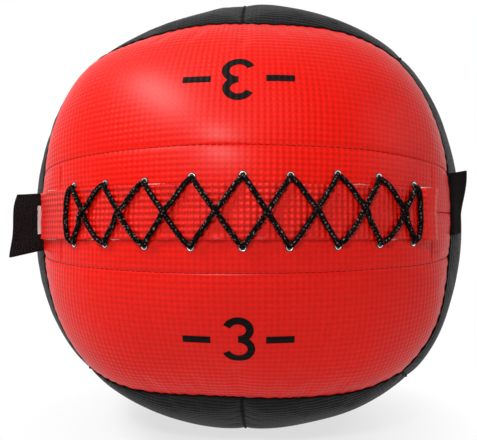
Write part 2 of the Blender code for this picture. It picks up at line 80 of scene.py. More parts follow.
def name_piece(piece, name):
    piece.name = name
    piece.data.name = name
    return piece


def added(name, data):
    """Puts a new object into the scene."""
    made = bpy.data.objects.new(name, data)
    bpy.context.scene.collection.objects.link(made)
    return made


def modify(piece, name, kind, **settings):
    """Gives a piece a modifier, with its settings."""
    made = piece.modifiers.new(name, kind)
    for key, value in settings.items():
        setattr(made, key, value)
    return made


def apply_all(piece):
    """Applies the piece's modifiers, and puts its place into its mesh."""
    work_on(piece)
    for modifier in list(piece.modifiers):
        bpy.ops.object.modifier_apply(modifier=modifier.name)
    bpy.ops.object.transform_apply(location=True, rotation=True, scale=True)
    return piece


def mend(piece, doubles=0, quads=False, outwards=False):
    """Joins doubled vertices, makes quads of triangles, or turns the faces outwards."""
    work_on(piece)
    bpy.ops.object.mode_set(mode="EDIT")
    bpy.ops.mesh.select_all(action="SELECT")
    if doubles:
        bpy.ops.mesh.remove_doubles(threshold=doubles)
    if quads:
        bpy.ops.mesh.tris_convert_to_quads()
    if outwards:
        bpy.ops.mesh.normals_make_consistent(inside=False)
    bpy.ops.object.mode_set(mode="OBJECT")
    return piece


def joined(pieces):
    """Makes one piece of many, and the first one gives its name."""
    work_on(pieces[0])
    for piece in pieces:
        piece.select_set(True)
    bpy.ops.object.join()
    return bpy.context.object


def select_vertices(piece, wanted):
    """In edit mode, selects the vertices whose place passes the test."""
    work_on(piece)
    bpy.ops.object.mode_set(mode="EDIT")
    bpy.ops.mesh.select_all(action="DESELECT")
    shape = bmesh.from_edit_mesh(piece.data)
    for corner in shape.verts:
        corner.select = wanted(corner.co)
    shape.select_flush_mode()
    bmesh.update_edit_mesh(piece.data)


def dent(piece, centre, depth, size):
    """Soft dents all over, pushed towards a centre."""
    for corner in piece.data.vertices:
        out = corner.co - centre
        share = 0.5 + 0.5 * noise.noise(corner.co / size)
        corner.co -= out.normalized() * depth * share


def shade(piece, *finishes, angle=50):
    """Gives a piece its finishes, and each face keeps the number of its own."""
    chosen = np.zeros(len(piece.data.polygons), dtype=np.int32)
    piece.data.polygons.foreach_get("material_index", chosen)
    piece.data.materials.clear()
    for finish in finishes:
        piece.data.materials.append(finish)
    piece.data.polygons.foreach_set("material_index", chosen)
    work_on(piece)
    bpy.ops.object.shade_smooth_by_angle(angle=math.radians(angle))


def fit(piece, body, slot, *nodes):
    """The piece rides on a body and stands for the part's own nodes."""
    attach(piece, body)
    if nodes:
        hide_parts(*nodes)


class Recipe:
    """The nodes of a material or of the world, made and joined in few words."""

    def __init__(self, name, world=None):
        self.made = world or bpy.data.materials.new(name)
        self.made.use_nodes = True
        self.tree = self.made.node_tree
        self.shader = self.tree.nodes.get("Principled BSDF")

    def node(self, kind, settings=(), **sockets):
        made = self.tree.nodes.new(kind)
        for key, value in dict(settings).items():
            setattr(made, key, value)
        for key, value in sockets.items():
            self.put(made.inputs[key.replace("_", " ")], value)
        return made

    def put(self, socket, value):
        if isinstance(value, bpy.types.NodeSocket):
            self.tree.links.new(value, socket)
        else:
            socket.default_value = value

    def sum(self, operation, *values):
        made = self.tree.nodes.new("ShaderNodeMath")
        made.operation = operation
        for socket, value in zip(made.inputs, values):
            self.put(socket, value)
        return made.outputs[0]

    def place(self, output="Object"):
        return self.node("ShaderNodeTexCoord").outputs[output]

    def parts(self, output="Object"):
        """A place as its separate numbers."""
        return self.node("ShaderNodeSeparateXYZ", Vector=self.place(output)).outputs

    def wave(self, run, length, kind="SINE"):
        """A wave of a real length."""
        return self.sum(kind, self.sum("MULTIPLY", run, 2 * math.pi / length))

    def grain(self, where, size, detail=3.0):
        """Noise of a real size, from 0 to 1."""
        made = self.node("ShaderNodeTexNoise", Vector=where, Scale=1 / size, Detail=detail)
        return made.outputs["Fac"]

    def between(self, share, first, second):
        """A colour between two, at a share."""
        made = self.node("ShaderNodeMix", {"data_type": "RGBA"})
        self.put(made.inputs[0], share)
        self.put(made.inputs[6], (*first, 1) if isinstance(first, tuple) else first)
        self.put(made.inputs[7], (*second, 1) if isinstance(second, tuple) else second)
        return made.outputs[2]

    def stretch(self, value, low, high, to_low=0.0, to_high=1.0):
        made = self.node("ShaderNodeMapRange", Value=value)
        for socket, number in zip(list(made.inputs)[1:5], (low, high, to_low, to_high)):
            socket.default_value = number
        return made.outputs[0]

    def relief(self, height, depth, under=None):
        made = self.node("ShaderNodeBump", Height=height, Distance=depth)
        if under is not None:
            self.put(made.inputs["Normal"], under)
        return made.outputs["Normal"]

    def finish(self, **sockets):
        for key, value in sockets.items():
            self.put(self.shader.inputs[key.replace("_", " ")], value)
        return self.made


def woven(name, first, second, thread, roughness=0.9, sheen=0.25):
    """Plain weave on Object coordinates: threads over and under in all three directions."""
    mix = Recipe(name)
    x, y, z = [mix.wave(part, 2 * thread) for part in mix.parts()]
    weave = mix.sum("MULTIPLY", mix.sum("ADD", x, y), mix.sum("ADD", z, 0.35))
    slub = mix.grain(mix.place(), thread * 6)
    colour = mix.between(mix.stretch(mix.sum("ADD", weave, slub), -1, 2), first, second)
    return mix.finish(
        Base_Color=colour,
        Roughness=roughness,
        Sheen_Weight=sheen,
        Normal=mix.relief(weave, thread * 0.3),
    )


bag_low, bag_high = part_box("weight_bag")
bag_centre = (bag_low + bag_high) / 2
bag_radius = (bag_high.x - bag_low.x) / 2
deselect()
bpy.ops.mesh.primitive_uv_sphere_add(
    segments=64,
    ring_count=32,
    radius=bag_radius * (1 - BAG_RIM_SHARE),
    location=bag_centre,
)
weight_bag = name_piece(bpy.context.object, "sand_bag")
apply_all(weight_bag)
select_vertices(weight_bag, lambda co: abs(co.z - bag_centre.z) < bag_radius / 100)
bpy.ops.transform.resize(
    value=(1 + BAG_RIM_SHARE, 1 + BAG_RIM_SHARE, 1), center_override=tuple(bag_centre)
)
bpy.ops.object.mode_set(mode="OBJECT")
dent(weight_bag, bag_centre, BAG_DENT, BAG_DENT_SIZE)
canvas = woven("sand_bag_canvas", (0.30, 0.27, 0.22), (0.22, 0.195, 0.155), thread=0.0011)
shade(weight_bag, canvas)
fit(weight_bag, "ball", "weight_bag_canvas", "weight_bag")


# Filling. Shredded textile fibre is packed round the weight bag, and it fills the ball to its
# round form. It has settled flatter under some parts of the cover and fuller under others.

BALL_RADIUS = 0.175
REST_PATCH_RADIUS = 0.045
HALVES = ("upper", "lower")
FIBRE_LUMP = 0.0012
FIBRE_LUMP_SIZE = 0.03
FIBRE_SCRAP = 0.006
FIBRE_LOOP = 0.0015
STUFFING_DEPTH = 0.1
SETTLED = (
    ((-0.46, -0.33, 0.82), -0.0080, 0.29),
    ((-0.82, -0.33, 0.47), -0.0018, 0.20),
    ((0.02, -0.33, 0.94), 0.0020, 0.13),
    ((0.44, -0.33, 0.83), -0.0012, 0.17),
    ((0.85, -0.33, 0.41), -0.0016, 0.22),
    ((0.67, -0.33, 0.66), 0.0020, 0.11),
    ((0.77, -0.33, -0.54), 0.0042, 0.30),
    ((0.67, -0.33, -0.66), 0.0024, 0.11),
    ((-0.54, -0.33, -0.77), -0.0040, 0.19),
)

ball_height = math.sqrt(BALL_RADIUS**2 - REST_PATCH_RADIUS**2)
ball_centre = np.array([0, 0, ball_height])


def unit(vectors):
    return vectors / np.linalg.norm(vectors, axis=-1, keepdims=True)


def settling(direction):
    """How much fuller the filling is in a direction, or how much flatter where it's negative."""
    total = np.zeros(direction.shape[:-1])
    for towards, amount, reach in SETTLED:
        apart = np.arccos(np.clip(direction @ unit(np.array(towards)), -1, 1))
        total = total + amount * np.exp(-((apart / reach) ** 2))
    return total


def settle(piece, depth):
    """Moves a stuffed piece with the filling, all of it or only its outside."""
    places = np.array([tuple(corner.co) for corner in piece.data.vertices]) - ball_centre
    reach = np.linalg.norm(places, axis=1)
    share = np.clip(1 - (BALL_RADIUS - reach) / depth, 0, 1)
    places += unit(places) * (settling(unit(places)) * share)[:, None]
    above = np.maximum(places + ball_centre, (-1, -1, 0))
    piece.data.vertices.foreach_set("co", above.reshape(-1))


def softened(node, name):
    """A smooth copy of one of the part's plain soft solids."""
    copy = frame["nodes"][node].copy()
    copy.data = copy.data.copy()
    for key in list(copy.keys()):
        del copy[key]
    copy.parent = None
    bpy.context.scene.collection.objects.link(copy)
    name_piece(copy, name)
    mend(copy, doubles=SAME_PLACE, quads=True)
    modify(copy, "smooth", "SUBSURF", levels=2, render_levels=2)
    return apply_all(copy)


def fibre_material():
    mix = Recipe("shredded_fibre")
    scraps = mix.node("ShaderNodeTexVoronoi", Vector=mix.place(), Scale=1 / FIBRE_SCRAP)
    tangle = mix.grain(mix.place(), FIBRE_LOOP, detail=8.0)
    colour = mix.between(scraps.outputs["Distance"], (0.5, 0.5, 0.52), (0.22, 0.24, 0.3))
    return mix.finish(
        Base_Color=mix.between(tangle, colour, (0.42, 0.38, 0.36)),
        Roughness=0.95,
        Sheen_Weight=0.4,
        Normal=mix.relief(tangle, depth=0.001),
    )


fibre = fibre_material()
for half in HALVES:
    stuffing = softened(f"filling_{half}", f"stuffing_{half}")
    dent(stuffing, bag_centre, FIBRE_LUMP, FIBRE_LUMP_SIZE)
    settle(stuffing, STUFFING_DEPTH)
    shade(stuffing, fibre, angle=60)
    fit(stuffing, "ball", "textile_fibre", f"filling_{half}")


# Liner. A plain cotton bag holds the fibre, so that it stays in when the lacing is open. It was
# filled through a round mouth behind the slit, and its cloth lies in shallow creases.

LINER_CREASE = 0.0004
LINER_CREASE_SIZE = 0.012
cotton = woven("liner_cloth", (0.70, 0.68, 0.62), (0.60, 0.575, 0.51), thread=0.0007)
liner = softened("liner_bag", "inner_liner")
for corner in liner.data.vertices:
    out = (corner.co - bag_centre).normalized()
    corner.co += out * LINER_CREASE * noise.noise(corner.co / LINER_CREASE_SIZE)
settle(liner, STUFFING_DEPTH)
shade(liner, cotton, angle=60)
fit(liner, "ball", "liner_cotton", "liner_bag")


# Cover. Twelve half panels of embossed vinyl are sewn into a ball with six faces. They are sewn
# inside out, so each edge rolls down into its seam, and the filling then swells them out.

CORNER_RISE = 0.0105
SEAM_DIP = 0.0016
SLIT_DIP = 0.0012
DIP_REACH = 0.008
SIDE_SEAM_ANGLE = math.radians(60)
UPPER_SEAM_ANGLE = math.radians(49)
LOWER_SEAM_ANGLE = math.radians(46)
CORNER_ANGLE = math.radians(60)
VINYL_THICKNESS = 0.0012
SEAM_HALF_GAP = 0.00012
EDGE_ROLL = 0.0014
HEM_DEPTH = 0.0012
SHEET_STEP = 0.0024
PUCKER_HEIGHT = 0.00035
PUCKER_PITCH = 0.0085
PUCKER_WANDER = 0.043
PUCKER_REACH = 0.0055
PUCKER_SWING = 2.1
LUMP_HEIGHT = 0.0007
LUMP_PHASE = 1.7
LUMP_WAVES = ((7, 3, 5), (-4, 8, 6), (9, -5, 2), (3, 6, -9), (12, 7, 10))
LIP_SWELL = 0.35
LIP_REACH = 0.08
FLOOR_FADE = 0.012
WIDTH_SHARE = 0.3
STITCH_ROW_SHARE = {"upper": 0.270, "lower": 0.287}
BAR_SHARES = (-0.730, 0.778)
STITCH_GROOVE = 0.0005
GROOVE_HALF_WIDTH = 0.0006
STITCH_PULL = 0.0007
PULL_REACH = 0.006
BAR_FROM = 0.013
BAR_FADE = 0.004
EDGE_ROWS = (SEAM_HALF_GAP, 0.0003, 0.0006, 0.001, 0.0015, 0.0022, 0.0032, 0.0048)
GROOVE_ROWS = (-3, -2, -1.2, -0.6, 0, 0.6, 1.2, 2, 3)
CLEAR_OF_GROOVE = 3.5
PUFF_STEPS = 32
PUFF_LAST_FRAME = 11
PUFF_CAP = 0.0012


def arc(first, second):
    """How far apart two directions are along the ball."""
    return BALL_RADIUS * np.arccos(np.clip(np.sum(first * second, axis=-1), -1, 1))


def together(*parts):
    """One array of points or lengths from their separate numbers."""
    return np.stack(np.broadcast_arrays(*parts), axis=-1)


def face_direction(longitude, latitude):
    """Longitude is counted from the laced face's middle towards +X, and latitude upwards."""
    level = np.cos(latitude)
    return together(np.sin(longitude) * level, -np.cos(longitude) * level, np.sin(latitude))


def corner_direction(x_sign, y_sign, z_sign):
    aside = math.sin(CORNER_ANGLE) / math.sqrt(2)
    return np.array([aside * x_sign, math.cos(CORNER_ANGLE) * y_sign, aside * z_sign])


def bowed_line(start, middle, end):
    """A seam from corner to corner through its middle, for a share from -1 to 1."""

    def at(share):
        s = np.asarray(share, float)[..., None]
        bow = middle - (start + end) / 2
        return unit(start * (1 - s) / 2 + end * (1 + s) / 2 + bow * (1 - s**2))

    return at


def middle_line(middle, end):
    """The straight line over a face's middle, in even steps."""
    angle = math.acos(float(middle @ end))
    aside = unit(end - middle * (middle @ end))

    def at(share):
        turned = np.asarray(share, float)[..., None] * angle
        return np.cos(turned) * middle + np.sin(turned) * aside

    return at


def side_seam(x_sign, y_sign):
    middle = face_direction(SIDE_SEAM_ANGLE, 0) * np.array([x_sign, -y_sign, 1])
    low = corner_direction(x_sign, y_sign, -1)
    return bowed_line(low, middle, corner_direction(x_sign, y_sign, 1))


def top_seam(y_sign, z_sign):
    angle = UPPER_SEAM_ANGLE if z_sign > 0 else LOWER_SEAM_ANGLE
    middle = face_direction(0, angle) * np.array([1, -y_sign, z_sign])
    left = corner_direction(-1, y_sign, z_sign)
    return bowed_line(left, middle, corner_direction(1, y_sign, z_sign))


def edge_seam(x_sign, z_sign):
    middle = unit(np.array([float(x_sign), 0, z_sign]))
    front = corner_direction(x_sign, -1, z_sign)
    return bowed_line(front, middle, corner_direction(x_sign, 1, z_sign))


def half_of(line, sign):
    """A line from its middle outwards, towards its end or its start."""
    return lambda share: line(np.asarray(share, float) * sign)


def red_face(y_sign, z_sign):
    left, right = side_seam(-1, y_sign), side_seam(1, y_sign)
    middle = middle_line(np.array([0.0, y_sign, 0.0]), right(0.0))
    outer = top_seam(y_sign, z_sign)
    return middle, outer, half_of(left, z_sign), half_of(right, z_sign)


def top_face(x_sign, z_sign):
    front, back = top_seam(-1, z_sign), top_seam(1, z_sign)
    middle = middle_line(np.array([0.0, 0.0, z_sign]), back(0.0))
    outer = edge_seam(x_sign, z_sign)
    return middle, outer, half_of(front, x_sign), half_of(back, x_sign)


def side_face(x_sign, y_sign):
    bottom, top = edge_seam(x_sign, -1), edge_seam(x_sign, 1)
    middle = middle_line(np.array([float(x_sign), 0.0, 0.0]), top(0.0))
    outer = side_seam(x_sign, y_sign)
    return middle, outer, half_of(bottom, y_sign), half_of(top, y_sign)


PANELS = {
    "front_panel_upper": red_face(-1, 1),
    "front_panel_lower": red_face(-1, -1),
    "back_panel_upper": red_face(1, 1),
    "back_panel_lower": red_face(1, -1),
    "top_panel_left": top_face(-1, 1),
    "top_panel_right": top_face(1, 1),
    "bottom_panel_left": top_face(-1, -1),
    "bottom_panel_right": top_face(1, -1),
    "left_panel_front": side_face(-1, -1),
    "left_panel_rear": side_face(-1, 1),
    "right_panel_front": side_face(1, -1),
    "right_panel_rear": side_face(1, 1),
}


def patch_direction(edges, along, out):
    """A place on a panel: along it from -1 to 1, and out from its inner edge from 0 to 1."""
    inner, outer, low_end, high_end = edges
    a, o = ((1 + along) / 2)[..., None], out[..., None]
    flat = inner(along) * (1 - o) + outer(along) * o
    ends = low_end(out) * (1 - a) + high_end(out) * a
    corners = (inner(-1.0) * (1 - a) + inner(1.0) * a) * (1 - o)
    corners = corners + (outer(-1.0) * (1 - a) + outer(1.0) * a) * o
    return unit(flat + ends - corners)


def form_radius(direction):
    """Fuller towards the eight corners of a cube, and flat where the ball rests."""
    at_corner = 27 * np.prod(direction, axis=-1) ** 2  # from 1 there to 0 between the faces
    radius = BALL_RADIUS + CORNER_RISE * at_corner
    radius = radius + settling(direction)
    down = np.maximum(-direction[..., 2], 1e-6)
    return np.minimum(radius, ball_height / down)


def grid_faces(numbers):
    """The corners of each face between rows of numbered vertices."""
    sides = (numbers[:-1, :-1], numbers[:-1, 1:], numbers[1:, 1:], numbers[1:, :-1])
    return np.stack(sides, axis=-1).reshape(-1, 4)


def blank_ball():
    """The whole cover as one cloth, with the vertices of each panel by its name."""
    along, out = np.meshgrid(
        np.linspace(-1, 1, 2 * PUFF_STEPS + 1), np.linspace(0, 1, PUFF_STEPS + 1)
    )
    points, faces, sewn = [], [], []
    for name, edges in PANELS.items():
        direction = patch_direction(edges, along, out)
        numbers = np.arange(along.size).reshape(along.shape) + len(points) * along.size
        faces.append(grid_faces(numbers))
        points.append((direction * form_radius(direction)[..., None]).reshape(-1, 3))
        at_seam = (np.abs(along) == 1) | (out == 1) | ((out == 0) & ("front_p" not in name))
        sewn.append(at_seam.reshape(-1))
    points, faces, sewn = map(np.concatenate, (points, faces, sewn))
    _, first, number = np.unique(
        np.round(points, 5), axis=0, return_index=True, return_inverse=True
    )
    number = number.reshape(-1)
    mesh = bpy.data.meshes.new("cover_blank")
    mesh.from_pydata(points[first].tolist(), [], number[faces].tolist())
    blank = mend(added("cover_blank", mesh), outwards=True)
    seam = blank.vertex_groups.new(name="seam")
    seam.add(np.unique(number[sewn]).tolist(), 1.0, "REPLACE")
    return blank, points[first], number.reshape(len(PANELS), *along.shape)


def puffed_cover():
    """How far the filling moves each place of each panel, from a cloth simulation."""
    blank, rest, numbers = blank_ball()
    moved = np.zeros(len(rest))
    stuffed = blank.modifiers.new("stuffed", "CLOTH")
    cloth = stuffed.settings
    cloth.quality = 5
    cloth.mass = 0.3
    cloth.tension_stiffness = cloth.compression_stiffness = 20
    cloth.shear_stiffness = 8
    cloth.bending_stiffness = 0.2
    cloth.use_pressure = True
    cloth.uniform_pressure_force = 25
    cloth.effector_weights.gravity = 0
    cloth.vertex_group_shrink = "seam"
    cloth.shrink_max = 0.025
    stuffed.collision_settings.use_collision = False
    for step in range(1, PUFF_LAST_FRAME + 1):
        bpy.context.scene.frame_set(step)
    bpy.ops.object.modifier_apply(modifier="stuffed")
    now = np.empty(len(rest) * 3)
    blank.data.vertices.foreach_get("co", now)
    moved = np.sum((now.reshape(-1, 3) - rest) * unit(rest), axis=-1)
    moved -= np.median(moved)
    moved = PUFF_CAP * np.tanh(moved / PUFF_CAP)
    bpy.context.scene.frame_set(1)
    bpy.data.objects.remove(blank)
    return {name: moved[table] for name, table in zip(PANELS, numbers)}


PUFFED = puffed_cover()


def cubic_weights(share):
    """Where a place falls among even steps, and the weights of the four steps round it."""
    step = np.floor(share).astype(int)
    t = share - step
    weights = (
        (-t + 2 * t**2 - t**3) / 2,
        (2 - 5 * t**2 + 3 * t**3) / 2,
        (t + 4 * t**2 - 3 * t**3) / 2,
        (t**3 - t**2) / 2,
    )
    return step, weights


def puff_at(name, along, out):
    """How far the cloth simulation moved a place on a panel."""
    table = PUFFED[name]
    column, column_weights = cubic_weights((along + 1) * PUFF_STEPS)
    row, row_weights = cubic_weights(out * PUFF_STEPS)
    total = np.zeros(np.shape(along))
    for i in range(4):
        rows = np.clip(row + i - 1, 0, table.shape[0] - 1)
        for j in range(4):
            columns = np.clip(column + j - 1, 0, table.shape[1] - 1)
            total += table[rows, columns] * row_weights[i] * column_weights[j]
    return total


def thread_pull(along, away, phase):
    """The small puckers that a seam's thread draws into the cover beside it."""
    wander = PUCKER_SWING * np.sin(2 * np.pi * along / PUCKER_WANDER + phase)
    ripple = np.sin(2 * np.pi * along / PUCKER_PITCH + wander + phase)
    return PUCKER_HEIGHT * ripple * np.exp(-away / PUCKER_REACH)


def filling_lumps(direction):
    """Broad soft lumps, where the filling behind the cover is fuller."""
    total = 0
    for number, way in enumerate(LUMP_WAVES):
        total = total + np.sin(direction @ np.array(way) + LUMP_PHASE * number)
    return LUMP_HEIGHT * total / 2


tab_places = {}
for side in ("left", "right"):
    tab_low, tab_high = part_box(f"{side}_tab")
    tab_places[side] = ((tab_low.z + tab_high.z) / 2 - ball_height, tab_high.z - tab_low.z)
TAB_HALF_THICKNESS = 0.0014
TAB_OPENING_FADE = 0.003
TAB_PANELS = ("left_panel_front", "right_panel_front")


def tab_opening(name, side, direction):
    """How far a side seam's edge is held back, where the webbing of a tab comes out of it."""
    if name not in ("front_panel_upper", "front_panel_lower", f"{side}_panel_front"):
        return np.zeros(direction.shape[:-1])
    middle, width = tab_places[side]
    past = np.abs(direction[..., 2] * BALL_RADIUS - middle) - width / 2
    return TAB_HALF_THICKNESS * np.clip(1 - past / TAB_OPENING_FADE, 0, 1)


def end_opening(name, along, low, high):
    """The same at both ends of a front panel."""
    return np.where(along < 0, tab_opening(name, "left", low), tab_opening(name, "right", high))


def distances(name, along, out):
    """From a place to the panel's inner edge, outer edge and nearer end."""
    inner, outer, low_end, high_end = PANELS[name]
    low, high = low_end(out), high_end(out)
    width = arc(low, high)
    height = arc(inner(along), outer(along))
    ends, edge = (1 - np.abs(along)) * width / 2, (1 - out) * height
    if name.startswith("front"):
        ends = ends - end_opening(name, along, low, high)
    if name in TAB_PANELS:
        edge = edge - tab_opening(name, name.split("_")[0], outer(along))
    return out * height, edge, ends, along * width / 2


def row_mark(away):
    """A stitched row's groove, and the wider hollow that its thread pulls in."""
    groove = STITCH_GROOVE * np.exp(-((away / GROOVE_HALF_WIDTH) ** 2))
    return groove, STITCH_PULL * np.exp(-np.abs(away) / PULL_REACH)


def row_share(name):
    """How far out from the slit a front panel's row of top-stitching runs."""
    return STITCH_ROW_SHARE[name.split("_")[-1]]


def stitch_marks(name, along, out, height, width):
    """The grooves that the rows of top-stitching press into the front panels."""
    from_row = (out - row_share(name)) * height
    depth = sum(row_mark(from_row))
    inside = np.clip(-from_row / BAR_FADE, 0, 1)
    inside = inside * np.clip((out * height - BAR_FROM) / BAR_FADE, 0, 1)
    for share in BAR_SHARES:
        groove, hollow = row_mark((along - share) * width / 2)
        depth = depth + inside * (groove + hollow / 2)
    return depth


ROW_SPREAD = 0.85
COLUMN_SPREAD = 0.35
PANEL_PHASE = 1.3


def panel_size(name):
    """Half of a panel's width, and its height."""
    inner, outer, low_end, high_end = PANELS[name]
    half_width = arc(low_end(WIDTH_SHARE), high_end(WIDTH_SHARE)) / 2
    return half_width, arc(inner(0.0), outer(0.0))


def cover_points(name, along, out, lift=0.0):
    """Places on a panel's outer face, and where they were on the flat vinyl before it was sewn."""
    along, out = np.asarray(along, float), np.asarray(out, float)
    direction = patch_direction(PANELS[name], along, out)
    from_inner, from_outer, from_end, across = distances(name, along, out)
    is_front = name.startswith("front")
    inner_dip = SLIT_DIP if is_front else SEAM_DIP
    dips = np.exp(-np.maximum(0, np.stack([from_inner, from_outer, from_end])) / DIP_REACH)
    dip = np.max(dips * np.array([inner_dip, SEAM_DIP, SEAM_DIP]).reshape(3, *[1] * along.ndim), 0)
    radius = form_radius(direction) - dip
    phase = PANEL_PHASE * list(PANELS).index(name)
    swell = puff_at(name, along, out) + filling_lumps(direction)
    swell = swell + thread_pull(across, np.abs(from_outer), phase)
    swell = swell + thread_pull(from_inner, np.abs(from_end), phase + np.sign(along))
    if is_front:
        swell = swell * np.clip(LIP_SWELL + from_inner / LIP_REACH, 0, 1)
        _, _, low_end, high_end = PANELS[name]
        height = from_inner / np.maximum(out, 1e-6)
        swell = swell - stitch_marks(name, along, out, height, arc(low_end(out), high_end(out)))
    else:
        swell = swell + thread_pull(across, from_inner, phase + 2)
    edges = np.clip(1 - np.stack([from_inner, from_outer, from_end]) / EDGE_ROLL, 0, 1)
    turned = np.minimum(1, np.sqrt(np.sum(edges**2, axis=0)))
    roll = EDGE_ROLL * (1 - np.sqrt(1 - turned**2))
    above_floor = ball_height + direction[..., 2] * radius
    swell = swell * np.clip(above_floor / FLOOR_FADE, 0, 1)
    points = ball_centre + direction * (radius + swell - roll + lift)[..., None]
    points[..., 2] = np.maximum(points[..., 2], 0)
    half_width, full_height = panel_size(name)
    up = out * full_height * ROW_SPREAD + from_inner * (1 - ROW_SPREAD)
    side = along * half_width * COLUMN_SPREAD + across * (1 - COLUMN_SPREAD)
    return points, np.stack([side, up], axis=-1)


def edge_steps(length, inner_is_edge=True, lines=()):
    """Shares from 0 to 1, close together by the edges and by the lines."""
    steps = [1 - at / length for at in EDGE_ROWS]
    if inner_is_edge:
        steps += [at / length for at in EDGE_ROWS]
    low = EDGE_ROWS[-1] / length if inner_is_edge else 0
    high = 1 - EDGE_ROWS[-1] / length
    count = max(2, round((high - low) * length / SHEET_STEP))
    between = np.linspace(low, high, count + 1)[:-1]
    steps += list(between[1:] if inner_is_edge else between)
    return finer(np.array(sorted(steps)), length, lines)


def finer(steps, length, lines):
    """The steps with closer ones put in across the grooves at some lines."""
    for line in lines:
        steps = steps[np.abs(steps - line) * length > GROOVE_HALF_WIDTH * CLEAR_OF_GROOVE]
        across = line + np.array(GROOVE_ROWS) * GROOVE_HALF_WIDTH / length
        steps = np.sort(np.concatenate([steps, across]))
    return steps


def grid_sheet(name, points, lengths):
    """A mesh from rows of points, with its lengths as its UV map and its faces outwards."""
    rows, columns = points.shape[:2]
    faces = grid_faces(np.arange(rows * columns).reshape(rows, columns))
    i, j = rows // 2, columns // 2
    normal = np.cross(points[i, j + 1] - points[i, j], points[i + 1, j] - points[i, j])
    if normal @ (points[i, j] - ball_centre) < 0:
        faces = faces[:, ::-1]
    mesh = bpy.data.meshes.new(name)
    mesh.from_pydata(points.reshape(-1, 3).tolist(), [], faces.tolist())
    layer = mesh.uv_layers.new(name="lengths")
    layer.data.foreach_set("uv", lengths.reshape(-1, 2)[faces.reshape(-1)].reshape(-1))
    return added(name, mesh)


def thicken(piece, thickness):
    """Gives a sheet its thickness, inwards from the face that was drawn."""
    mend(piece, doubles=2 * SAME_PLACE)
    modify(piece, "wall", "SOLIDIFY", thickness=thickness, offset=-1)
    return apply_all(piece)


def sew_panel(name):
    """A panel's vinyl with its edges rolled down and its hem turned in."""
    _, outer, low_end, high_end = PANELS[name]
    half_width, height = panel_size(name)
    is_front = name.startswith("front")
    half = edge_steps(half_width, inner_is_edge=False)
    shares = np.concatenate([-half[:0:-1], half])
    if is_front:
        shares = finer(shares, half_width, BAR_SHARES)
    outs = edge_steps(height, lines=[row_share(name)] if is_front else [])
    along, out = np.meshgrid(shares, outs)
    if is_front:
        opening = end_opening(name, along, low_end(out), high_end(out))
        along = along * (1 - opening / half_width)
    elif name in TAB_PANELS:
        opening = tab_opening(name, name.split("_")[0], outer(along))
        out = out * (1 - opening / height)
    along, out = (np.pad(part, 1, mode="edge") for part in (along, out))
    hem = np.full(along.shape, -HEM_DEPTH)
    hem[1:-1, 1:-1] = 0
    points, lengths = cover_points(name, along, out, hem)
    return thicken(grid_sheet(f"{name}_vinyl", points, lengths), VINYL_THICKNESS)


EMBOSS_PITCH = 0.0037
EMBOSS_DEPTH = 0.0006


def embossing(mix):
    """Rows of small soft cushions with a pit at every corner, as a height from 0 to 1."""
    waves = [mix.wave(part, EMBOSS_PITCH, "COSINE") for part in list(mix.parts("UV"))[:2]]
    return mix.sum("MULTIPLY_ADD", mix.sum("ADD", *waves), 0.25, 0.5)


def vinyl(name, colours, roughness, gloss, coat, depth=EMBOSS_DEPTH, crease=None):
    """Soft vinyl, embossed all over. Its colours are the plain one, a darker one painted into the
    emboss pits as painted shade, and the worn one.

    Where it's folded over a crease, at a length along it, the colour is paler and pinker in a
    narrow band.
    """
    colour, pit_painted_shade, worn_colour = colours
    mix = Recipe(name)
    cushion = embossing(mix)
    skin = mix.grain(mix.place(), size=0.0006, detail=4.0)
    handled = mix.grain(mix.place(), size=0.05)
    height = mix.sum("ADD", cushion, mix.sum("MULTIPLY", skin, 0.10))
    body = mix.between(mix.stretch(handled, 0.35, 0.7), colour, worn_colour)
    if crease is not None:
        off_crease = mix.sum("ABSOLUTE", mix.sum("SUBTRACT", mix.parts("UV")[0], crease))
        body = mix.between(mix.stretch(off_crease, *CREASE_BAND), body, CREASED)
    uneven = mix.sum("ADD", skin, handled)
    return mix.finish(
        # The emboss pits are coloured darker: painted shade in the hollows.
        Base_Color=mix.between(mix.stretch(cushion, -0.25, 0.65), pit_painted_shade, body),
        Roughness=mix.stretch(uneven, 0.6, 1.4, to_low=roughness - 0.05, to_high=roughness + 0.07),
        Specular_IOR_Level=gloss,
        Coat_Weight=coat,
        Coat_Roughness=0.36,
        Normal=mix.relief(height, depth),
    )


# Each list holds the plain colour, the pits' painted shade and the worn colour.
REDS = ((0.80, 0.0065, 0.0008), (0.60, 0.0040, 0.0005), (0.75, 0.0058, 0.0007))
BLACKS = ((0.0115, 0.0110, 0.0120), (0.0065, 0.0065, 0.0070), (0.0095, 0.0092, 0.0098))
CREASED = (0.85, 0.10, 0.07)
CREASE_BAND = (0.0022, 0.0010)
red_vinyl = vinyl("red_vinyl_cover", REDS, roughness=0.36, gloss=0.04, coat=0.26)
black_vinyl = vinyl("black_vinyl_cover", BLACKS, roughness=0.42, gloss=0.02, coat=0.06)

panel_pieces = {panel: sew_panel(panel) for panel in PANELS}


# Eyelets. Nine nickel eyelets along each lip of the slit hold the lace. Each is pressed from thin
# brass plate, rolled over outside and clenched inside through the vinyl and a facing strip.

